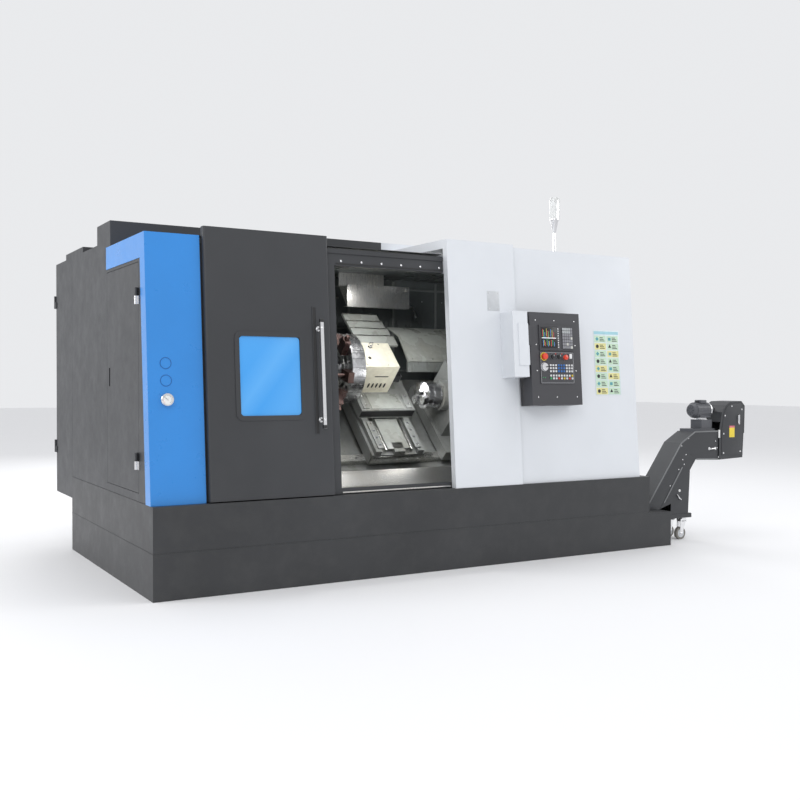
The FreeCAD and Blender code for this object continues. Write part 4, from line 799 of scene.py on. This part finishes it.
def turretDetail():
    # face of the indexing disc with its clamping bolts, marks and bolts on its rim
    disc = {"left": 1.670, "centre": (0.283, 0.0), "radius": 0.256, "stations": 12,
            "bolts": ((0.130, 0.0075), (0.088, 0.006)), "rimBolts": (1.700, 1.764)}
    y0, z0 = disc["centre"]
    bm = bmesh.new()
    lathe(bm, ((0.0, 0.0), (0.070, 0.0), (0.070, 0.010), (0.058, 0.014), (0.030, 0.014), (0.026, 0.008),
            (0.0, 0.008)), (disc["left"], y0, z0), "-x", 0, 48)
    lathe(bm, ((0.110, 0.0), (0.150, 0.0), (0.150, 0.003), (0.110, 0.003)), (disc["left"], y0, z0), "-x", 1,
            64)
    for angle in around(disc["stations"]):
        for reach, size in disc["bolts"]:
            lathe(bm, ((0, 0), (size, 0), (size, 0.006), (size * 0.5, 0.006), (size * 0.5, 0.002),
                    (0, 0.002)), (disc["left"] - 0.002, y0 + reach * math.cos(angle),
                    z0 + reach * math.sin(angle)), "-x", 2, 14)
    piece("discFace", bm, "turret", ["chuckSteel", "groundSteel", "brightMetal"], slantSpace)
    bm = bmesh.new()
    for angle in around(disc["stations"], 15):
        for x in disc["rimBolts"]:
            made = cap(bm, (0.008, 0.003, 0.0045, 0.0), (0, 0, 0), "z", 0, 14)
            moved(bm, made, (x, 0, disc["radius"] - 0.001))
            turned(bm, made, angle, "X", (0, y0, z0))
    for angle in around(24):
        made = block(bm, (1.6745, -0.0012, disc["radius"] - 0.0004), (0.114, 0.0024, 0.0010), 1)
        turned(bm, made, angle, "X", (0, y0, z0))
    piece("discBolts", bm, "turret", ["brightMetal", "rubberSeal"], slantSpace)


def saddleDetail():
    # bolted strips, the smooth cover plate and wipers of the saddle and cross slide
    saddle = {"top": -0.209, "strips": (1.872, 2.190), "strip": (0.050, 0.268, 0.012),
            "bars": (1.938, 2.158), "bolts": 4}
    slide = {"top": -0.125, "strips": (1.845, 2.215), "strip": (0.050, 0.160, 0.010)}
    bm = bmesh.new()
    zTop = saddle["top"]
    for x in saddle["strips"]:
        block(bm, (x, -0.345, zTop - 0.002), saddle["strip"], 0, 0.003)
        for step in range(saddle["bolts"]):
            cap(bm, (0.009, 0.004, 0.005, 0.001), (x + 0.025, -0.315 + step * 0.070, zTop + 0.010), "z", 1,
                    18)
    block(bm, (1.960, -0.340, zTop - 0.020), (0.190, 0.300, 0.014), 2, 0.003)
    for x in saddle["bars"]:
        block(bm, (x, -0.350, zTop - 0.030), (0.014, 0.320, 0.026), 3, 0.003)
    piece("saddlePlates", bm, "saddle", ["castGrey", "brightMetal", "coverGrey", "groundSteel"], slantSpace)
    bm = bmesh.new()
    zSlide = slide["top"]
    for x in slide["strips"]:
        block(bm, (x, -0.020, zSlide - 0.001), slide["strip"], 0, 0.003)
        for step in range(2):
            cap(bm, (0.008, 0.004, 0.0045, 0.001), (x + 0.025, 0.015 + step * 0.085, zSlide + 0.009), "z",
                    1, 18)
    block(bm, (1.915, -0.022, zSlide - 0.001), (0.280, 0.150, 0.006), 2, 0.002)
    block(bm, (1.826, -0.0375, zSlide - 0.070), (0.458, 0.004, 0.060), 3, 0.0015)
    piece("slidePlates", bm, "cross_slide", ["castGrey", "brightMetal", "coverGrey", "rubberSeal"],
            slantSpace)
    bm = bmesh.new()
    block(bm, (1.835, -0.3735, -0.335), (0.440, 0.004, 0.070), 0, 0.0015)
    for step in range(5):
        pan(bm, (0.007, 0.006, 0.003, 0.004), (1.875 + step * 0.09, -0.3730, -0.300), "-y", 1, 14)
    piece("saddleWiper", bm, "saddle", ["groundSteel", "brightMetal"], slantSpace)


def railDetail():
    # plugs over the rail bolts, the apron's folded edge, two coolant pipes
    plugs = {"rows": (-0.300, 0.300), "count": 22, "from": 1.19, "pitch": 0.095, "low": -0.3504}
    bm = bmesh.new()
    for y in plugs["rows"]:
        for step in range(plugs["count"]):
            pan(bm, (0.0085, 0.0085, 0.0005, 0.0005), (plugs["from"] + step * plugs["pitch"], y,
                    plugs["low"]), "z", 0, 16)
    piece("railPlugs", bm, "machine", "brightMetal", slantSpace)
    bm = bmesh.new()
    block(bm, (1.262, 0.118, 0.6765), (0.470, 0.030, 0.0022), 0, 0.0008)
    slab(bm, ((0.330, 0.500), (0.345, 0.500), (0.345, 0.560), (0.338, 0.560), (0.336, 0.512),
            (0.330, 0.512)), "x", 1.262, 2.44, 1, 0.001)
    piece("apronTrim", bm, "machine", ["stainless", "linerPaint"], machineSpace)
    bm = bmesh.new()
    tube(bm, ((1.30, 1.150, 1.780), (1.34, 1.080, 1.790), (1.38, 0.99, 1.760), (1.40, 0.92, 1.700)), 0.010,
            0, 12)
    tube(bm, ((2.62, 1.580, 1.900), (2.62, 1.480, 1.905), (2.60, 1.400, 1.860), (2.57, 1.330, 1.800)),
            0.008, 0, 12)
    piece("coolantPipes", bm, "machine", "satinAluminium", machineSpace)


def subSpindleDetail():
    # rings and bolts of the second chuck, bolts round its nose, rings of the main chuck
    chuck = {"face": 2.3105, "boltRing": 0.075, "rings": ((2.312, 0.1024), (2.360, 0.1026),
            (2.421, 0.1026)), "nose": 2.4415, "noseRing": 0.110,
            "mainRings": ((1.112, 0.1574), (1.160, 0.1576), (1.224, 0.1574))}
    bm = bmesh.new()
    for x, radius in chuck["rings"]:
        hoop(bm, radius, 0.004, 0.0035, (x, 0, 0), "x", 1, 72)
    for angle in around(6, 30):
        cap(bm, (0.0075, 0.004, 0.004, 0.001), (chuck["face"], chuck["boltRing"] * math.cos(angle),
                chuck["boltRing"] * math.sin(angle)), "-x", 0, 16)
    lathe(bm, ((0.024, 0.0), (0.036, 0.0), (0.036, 0.006), (0.027, 0.008), (0.024, 0.006)),
            (chuck["face"], 0, 0), "-x", 1, 48)
    piece("subChuckRings", bm, "sub_spindle", ["brightMetal", "chuckSteel"], spindleSpace)
    bm = bmesh.new()
    for angle in around(8, 10):
        cap(bm, (0.007, 0.004, 0.0035, 0.001), (chuck["nose"], chuck["noseRing"] * math.cos(angle),
                chuck["noseRing"] * math.sin(angle)), "-x", 0, 16)
    piece("noseBolts", bm, "sub_slide", "brightMetal", spindleSpace)
    bm = bmesh.new()
    for x, radius in chuck["mainRings"]:
        hoop(bm, radius, 0.004, 0.0035, (x, 0, 0), "x", 0, 72)
    lathe(bm, ((0.030, 0.0), (0.050, 0.0), (0.050, 0.006), (0.036, 0.010), (0.030, 0.008)), (1.2295, 0, 0),
            "x", 0, 48)
    piece("mainChuckRings", bm, "main_spindle", "chuckSteel", spindleSpace)


def conveyorDetail():
    # folded rims, side screws, lever, handle and latch of the chip conveyor
    conveyor = {"front": 0.1500, "middle": 0.2450, "motorLeft": 4.602, "motorRight": 4.752,
            "motorHigh": 1.045, "fins": 20, "rims": (((4.185, 0.310), (4.385, 0.590)),
            ((4.541, 0.649), (4.800, 0.639)), ((4.374, 0.785), (4.527, 0.872)),
            ((3.960, 0.235), (4.374, 0.785)), ((4.527, 0.872), (4.800, 0.872))),
            "screws": ((4.375, 0.762), (4.452, 0.822), (4.425, 0.690), (4.388, 0.650), (4.405, 0.612),
            (4.345, 0.572), (4.250, 0.445), (4.765, 0.790), (4.785, 0.735)),
            "guard": ((4.826, 0.668), (5.062, 0.676), (5.074, 0.855), (5.086, 1.068), (5.052, 1.100),
            (4.934, 1.097), (4.884, 1.072), (4.850, 1.018), (4.826, 0.880)),
            "guardScrews": ((4.845, 0.690), (5.045, 0.698), (5.062, 1.050), (4.940, 1.078), (4.860, 1.000),
            (4.845, 0.850)), "handleEnds": (4.690, 4.762)}
    caster = {"axle": (4.395, 0.050), "stem": (4.425, 0.1430), "lines": (("front", 0.182), ("rear", 0.308))}
    front, middle = conveyor["front"], conveyor["middle"]
    bm = bmesh.new()
    for first, second in conveyor["rims"]:
        run, rise = second[0] - first[0], second[1] - first[1]
        long = math.hypot(run, rise)
        made = block(bm, (0, -0.0035, -0.006), (long, 0.0035, 0.012), 0, 0.001)
        turned(bm, made, -math.atan2(rise, run), "Y", (first[0], front, first[1]))
    piece("conveyorRims", bm, "machine", "edgeGrey", machineSpace)
    bm = bmesh.new()
    for x, z in conveyor["screws"]:
        pan(bm, (0.0055, 0.0050, 0.0025, 0.0035), (x, front, z), "-y", 0, 16)
    piece("conveyorScrews", bm, "machine", "brightMetal", machineSpace)
    bm = bmesh.new()
    tube(bm, ((4.325, front - 0.004, 0.372), (4.335, front - 0.012, 0.350), (4.352, front - 0.012, 0.335),
            (4.372, front - 0.004, 0.328)), 0.006, 0, 12)
    lathe(bm, ((0, 0), (0.011, 0), (0.011, 0.004), (0.007, 0.007), (0.0, 0.007)), (4.355, front, 0.400),
            "-y", 1, 24)
    tube(bm, ((4.690, front + 0.002, 0.728), (4.694, front - 0.014, 0.728), (4.726, front - 0.016, 0.730),
            (4.758, front - 0.014, 0.732), (4.762, front + 0.002, 0.732)), 0.006, 0, 12)
    for x in conveyor["handleEnds"]:
        pan(bm, (0.013, 0.012, 0.004, 0.004), (x, front, 0.730), "-y", 0, 20)
    block(bm, (4.795, front - 0.011, 0.815), (0.016, 0.011, 0.068), 1, 0.004, 3)
    piece("legLever", bm, "machine", ["brightMetal", "whitePlastic"], machineSpace)
    # gearbox rings, motor fins, terminal box and cable gland
    bm = bmesh.new()
    for z, radius in ((0.966, 0.058), (0.978, 0.050)):
        lathe(bm, ((0, 0), (radius, 0), (radius, 0.008), (radius - 0.006, 0.010), (0, 0.010)),
                (4.700, middle, z - 0.004), "z", 0, 40)
    lathe(bm, ((0.055, 0), (0.0645, 0), (0.0645, 0.010), (0.055, 0.010)),
            (conveyor["motorRight"], middle, conveyor["motorHigh"]), "x", 0, 48)
    lathe(bm, ((0.040, 0), (0.0635, 0), (0.0635, 0.006), (0.040, 0.006)),
            (conveyor["motorLeft"], middle, conveyor["motorHigh"]), "x", 1, 48)
    for angle in around(conveyor["fins"]):
        made = block(bm, (4.612, -0.0015, 0.0605), (0.134, 0.003, 0.0060), 1, 0.0008, 1)
        turned(bm, made, angle, "X", (0, middle, conveyor["motorHigh"]))
    for angle in around(8):
        made = block(bm, (4.5745, -0.002, 0.014), (0.002, 0.004, 0.026), 2)
        turned(bm, made, angle, "X", (0, middle, conveyor["motorHigh"]))
    block(bm, (4.655, middle - 0.036, 1.100), (0.070, 0.072, 0.030), 1, 0.006, 3)
    lathe(bm, ((0, 0), (0.011, 0), (0.011, 0.010), (0.008, 0.016), (0, 0.016)), (4.655, middle, 1.115),
            "-x", 2, 6)
    piece("motorDetail", bm, "machine", ["brightMetal", "motorPaint", "blackPlastic"], machineSpace)
    # guard: raised cover and its screws, plain two-colour plate, handle
    guard = front - 0.010
    bm = bmesh.new()
    slab(bm, conveyor["guard"], "y", guard - 0.004, 0.0045, 0, 0.003)
    for x, z in conveyor["guardScrews"]:
        pan(bm, (0.0075, 0.007, 0.003, 0.0045), (x, guard - 0.004, z), "-y", 1, 16)
    block(bm, (4.915, guard - 0.0048, 0.898), (0.062, 0.001, 0.016), 2, 0.0003)
    block(bm, (4.915, guard - 0.0048, 0.818), (0.062, 0.001, 0.080), 3, 0.0003)
    block(bm, (5.010, guard - 0.014, 0.930), (0.020, 0.010, 0.070), 1, 0.003)
    rod(bm, (5.020, guard - 0.016, 0.925), 0.006, 0.080, "z", 1, 16)
    piece("guardDetail", bm, "machine", ["darkPaint", "brightMetal", "warnPink", "warnYellow"],
            machineSpace)
    # caster details: axle nuts and rubber-rimmed hubs
    for side, y in caster["lines"]:
        bm = bmesh.new()
        for start, along in ((y - 0.0195, "-y"), (y + 0.0195, "y")):
            lathe(bm, ((0, 0), (0.009, 0), (0.009, 0.005), (0.006, 0.007), (0, 0.007)),
                    (caster["axle"][0], start, caster["axle"][1]), along, 0, 6)
        lathe(bm, ((0.012, 0.0), (0.030, 0.0), (0.034, 0.004), (0.030, 0.008), (0.012, 0.008)),
                (caster["stem"][0], y, caster["stem"][1]), "z", 0, 40)
        piece("casterNuts_" + side, bm, "caster_" + side, "brightMetal", machineSpace)
        bm = bmesh.new()
        for start, along in ((y - 0.0139, "-y"), (y + 0.0139, "y")):
            lathe(bm, ((0.007, 0), (0.034, 0.0), (0.034, 0.0006), (0.026, 0.0006), (0.022, 0.0004),
                    (0.007, 0.0006)), (caster["axle"][0], start, caster["axle"][1]), along, 0, 40)
        lathe(bm, ((0.0470, -0.0115), (0.0498, -0.0080), (0.0503, 0.0), (0.0498, 0.0080), (0.0470, 0.0115),
                (0.0455, 0.0)), (caster["axle"][0], y, caster["axle"][1]), "y", 1, 56)
        piece("casterHub_" + side, bm, "wheel_" + side, ["paleGrey", "casterRubber"], machineSpace)


def lampDetail():
    # rings between the lamp's sections and its foot screws
    lamp = {"spot": (3.497, 0.700), "rings": ((2.586, 0.0385), (2.752, 0.034)), "screwRing": 0.032,
            "foot": 2.2520}
    spot, reach = lamp["spot"], lamp["screwRing"]
    bm = bmesh.new()
    for z, radius in lamp["rings"]:
        hoop(bm, radius, 0.006, 0.010, (*spot, z - 0.004), "z", 0, 48)
    for angle in around(3, 30):
        pan(bm, (0.006, 0.005, 0.003, 0.004), (spot[0] + reach * math.cos(angle),
                spot[1] + reach * math.sin(angle), lamp["foot"]), "z", 0, 14)
    piece("lampRings", bm, "machine", "brightMetal", machineSpace)


def cabinetDetail():
    # louvres and studs of the cabinet, vents at the back, panels at the right end
    cabinet = {"doors": (("left", 0.20), ("right", 1.00)), "louvre": (0.36, 0.010, 0.020), "louvres": 9,
            "pitch": 0.045, "doorBack": 2.6605}
    vent = {"lefts": (1.90, 2.70), "low": 1.10, "back": 2.0895, "slats": 11, "pitch": 0.055}
    endPanel = {"fronts": (0.70, 1.45), "right": 3.8000, "face": 3.8028, "low": 1.00, "slats": 8}
    for name, start in cabinet["doors"]:
        bm = bmesh.new()
        for row in range(cabinet["louvres"]):
            made = block(bm, (0, 0, 0), cabinet["louvre"], 0, 0.003)
            turned(bm, made, math.radians(24), "X", (start, cabinet["doorBack"],
                    1.60 + row * cabinet["pitch"]))
        frameOf(bm, (start - 0.03, 1.565, 0.42, 0.43), 0.012, 0.008, 2.6640, 0.0035, 0)
        piece("doorLouvres_" + name, bm, "cabinet_door_" + name, "darkPaint", machineSpace)
    bm = bmesh.new()
    for x in (0.20, 1.40):
        lathe(bm, ((0, 0), (0.022, 0), (0.022, 0.006), (0.012, 0.012), (0, 0.012)), (x, 2.60, 2.200), "z",
                0, 28)
    for x in (0.10, 1.10):
        for y in (1.80, 2.22):
            pan(bm, (0.012, 0.011, 0.004, 0.006), (x, y, 2.2412), "z", 0, 20)
    piece("roofStuds", bm, "machine", "brightMetal", machineSpace)
    bm = bmesh.new()
    for x in vent["lefts"]:
        frameOf(bm, (x, vent["low"], 0.60, 0.70), 0.02, 0.012, vent["back"], 0.003, 0)
        for row in range(vent["slats"]):
            block(bm, (x + 0.06, vent["back"], 1.16 + row * vent["pitch"]), (0.48, 0.004, 0.016), 0, 0.0015)
        for dx in (0.03, 0.57):
            for dz in (0.03, 0.67):
                pan(bm, (0.009, 0.008, 0.004, 0.006), (x + dx, 2.0900, vent["low"] + dz), "y", 1, 18)
    piece("rearVents", bm, "machine", ["darkPaint", "brightMetal"], machineSpace)
    bm = bmesh.new()
    for y in endPanel["fronts"]:
        block(bm, (endPanel["right"], y, endPanel["low"]), (0.0030, 0.62, 0.80), 0, 0.0012)
        for dy in (0.03, 0.59):
            for dz in (0.03, 0.77):
                pan(bm, (0.009, 0.008, 0.004, 0.006), (endPanel["face"], y + dy, endPanel["low"] + dz), "x",
                        1, 18)
    for row in range(endPanel["slats"]):
        block(bm, (endPanel["face"], 1.53, 1.08 + row * 0.045), (0.003, 0.46, 0.014), 0, 0.001)
    piece("endPanels", bm, "machine", ["whitePaint", "brightMetal"], machineSpace)


def baseDetail():
    # weld seam along the front, left and back of the base, and two drain plugs
    seam = {"low": 0.276, "high": 0.004, "deep": 0.0024, "long": 3.872, "side": 2.082, "proud": -0.0022,
            "back": 2.0898}
    plugs = (((3.877, 0.9, 0.40), "x", 0.020), ((1.0, 2.0898, 0.08), "y", 0.018))
    bm = bmesh.new()
    for y in (seam["proud"], seam["back"]):
        block(bm, (0.004, y, seam["low"]), (seam["long"], seam["deep"], seam["high"]), 0, 0.0008)
    block(bm, (seam["proud"], 0.004, seam["low"]), (seam["deep"], seam["side"], seam["high"]), 0, 0.0008)
    piece("baseSeam", bm, "machine", "basePaint", machineSpace)
    bm = bmesh.new()
    for spot, along, long in plugs:
        lathe(bm, ((0, 0), (0.026, 0), (0.026, 0.006), (0.016, 0.008), (0.016, long), (0, long)), spot,
                along, 0, 32)
    piece("drainPlugs", bm, "machine", "brightMetal", machineSpace)


for make in (enclosureFront, blueCorner, headerAndSills, hoodDetail, tilesChart, controlPanel, dialPieces,
        workLining, turretHousingDetail, telescopeCover, turretDetail, saddleDetail, railDetail,
        subSpindleDetail, conveyorDetail, lampDetail, cabinetDetail, baseDetail):
    make()
    print("made:", make.__name__)

# studio: a pale floor, a pale world and large soft lights
studio = {"floor": (0.84, 0.84, 0.85), "world": (0.93, 0.94, 0.96), "worldStrength": 0.88,
        "lights": (("key", (-5.5, -7.5, 6.5), 5.0, 175.0, (0, 0, 1.0)),
        ("side", (-8.0, 1.5, 4.0), 4.0, 200.0, (0, 0, 1.0)),
        ("top", (0.5, -0.5, 8.0), 6.0, 160.0, (0, 0, 1.0)),
        ("right", (7.5, -4.0, 4.5), 4.0, 90.0, (0, 0, 1.0)),
        ("behind", (2.0, 8.0, 5.0), 5.0, 220.0, (0, 0, 1.0)),
        ("workLamp", (-0.35, -0.55, 1.98), 0.30, 8.0, (-0.1, 0.0, 1.2)),
        ("workLampLow", (0.10, -0.62, 1.25), 0.25, 2.0, (-0.1, 0.1, 0.9)))}
floorMesh = bmesh.new()
bmesh.ops.create_grid(floorMesh, x_segments=1, y_segments=1, size=40.0)
floorData = bpy.data.meshes.new("floor")
floorMesh.to_mesh(floorData)
floorMesh.free()
floor = bpy.data.objects.new("floor", floorData)
bpy.context.collection.objects.link(floor)
floorPaint = Paint("floorPaint")
floorData.materials.append(floorPaint.done(floorPaint.mix(floorPaint.noise(0.6, 3.0), studio["floor"],
        tuple(c * 0.985 for c in studio["floor"])), 0.6))
world = bpy.data.worlds.new("studio")
world.use_nodes = True
world.node_tree.nodes["Background"].inputs["Color"].default_value = (*studio["world"], 1)
world.node_tree.nodes["Background"].inputs["Strength"].default_value = studio["worldStrength"]
bpy.context.scene.world = world
for name, spot, size, power, aim in studio["lights"]:
    lamp = bpy.data.lights.new(name, "AREA")
    lamp.shape = "DISK"
    lamp.size = size
    lamp.energy = power
    holder = bpy.data.objects.new(name, lamp)
    bpy.context.collection.objects.link(holder)
    holder.location = spot
    holder.rotation_euler = (Vector(aim) - Vector(spot)).to_track_quat("-Z", "Y").to_euler()

# camera
view = {"spot": (-3.712, -6.665, 1.285), "yaw": 0.5309, "pitch": 0.0198, "roll": 0.0032, "lens": 44.685}
ahead = Vector((math.sin(view["yaw"]) * math.cos(view["pitch"]),
        math.cos(view["yaw"]) * math.cos(view["pitch"]), -math.sin(view["pitch"])))
side = Vector((math.cos(view["yaw"]), -math.sin(view["yaw"]), 0))
over = side.cross(ahead)
cosRoll, sinRoll = math.cos(view["roll"]), math.sin(view["roll"])
turn = Matrix((side * cosRoll + over * sinRoll, over * cosRoll - side * sinRoll, -ahead)).transposed()
eye = bpy.data.cameras.new("camera")
eye.lens = view["lens"]
eye.sensor_width = 36.0
eye.clip_end = 100.0
camera = bpy.data.objects.new("camera", eye)
bpy.context.collection.objects.link(camera)
camera.matrix_world = Matrix.Translation(view["spot"]) @ turn.to_4x4()
bpy.context.scene.camera = camera
bpy.context.scene.view_settings.view_transform = "Standard"
print("studio and camera set")
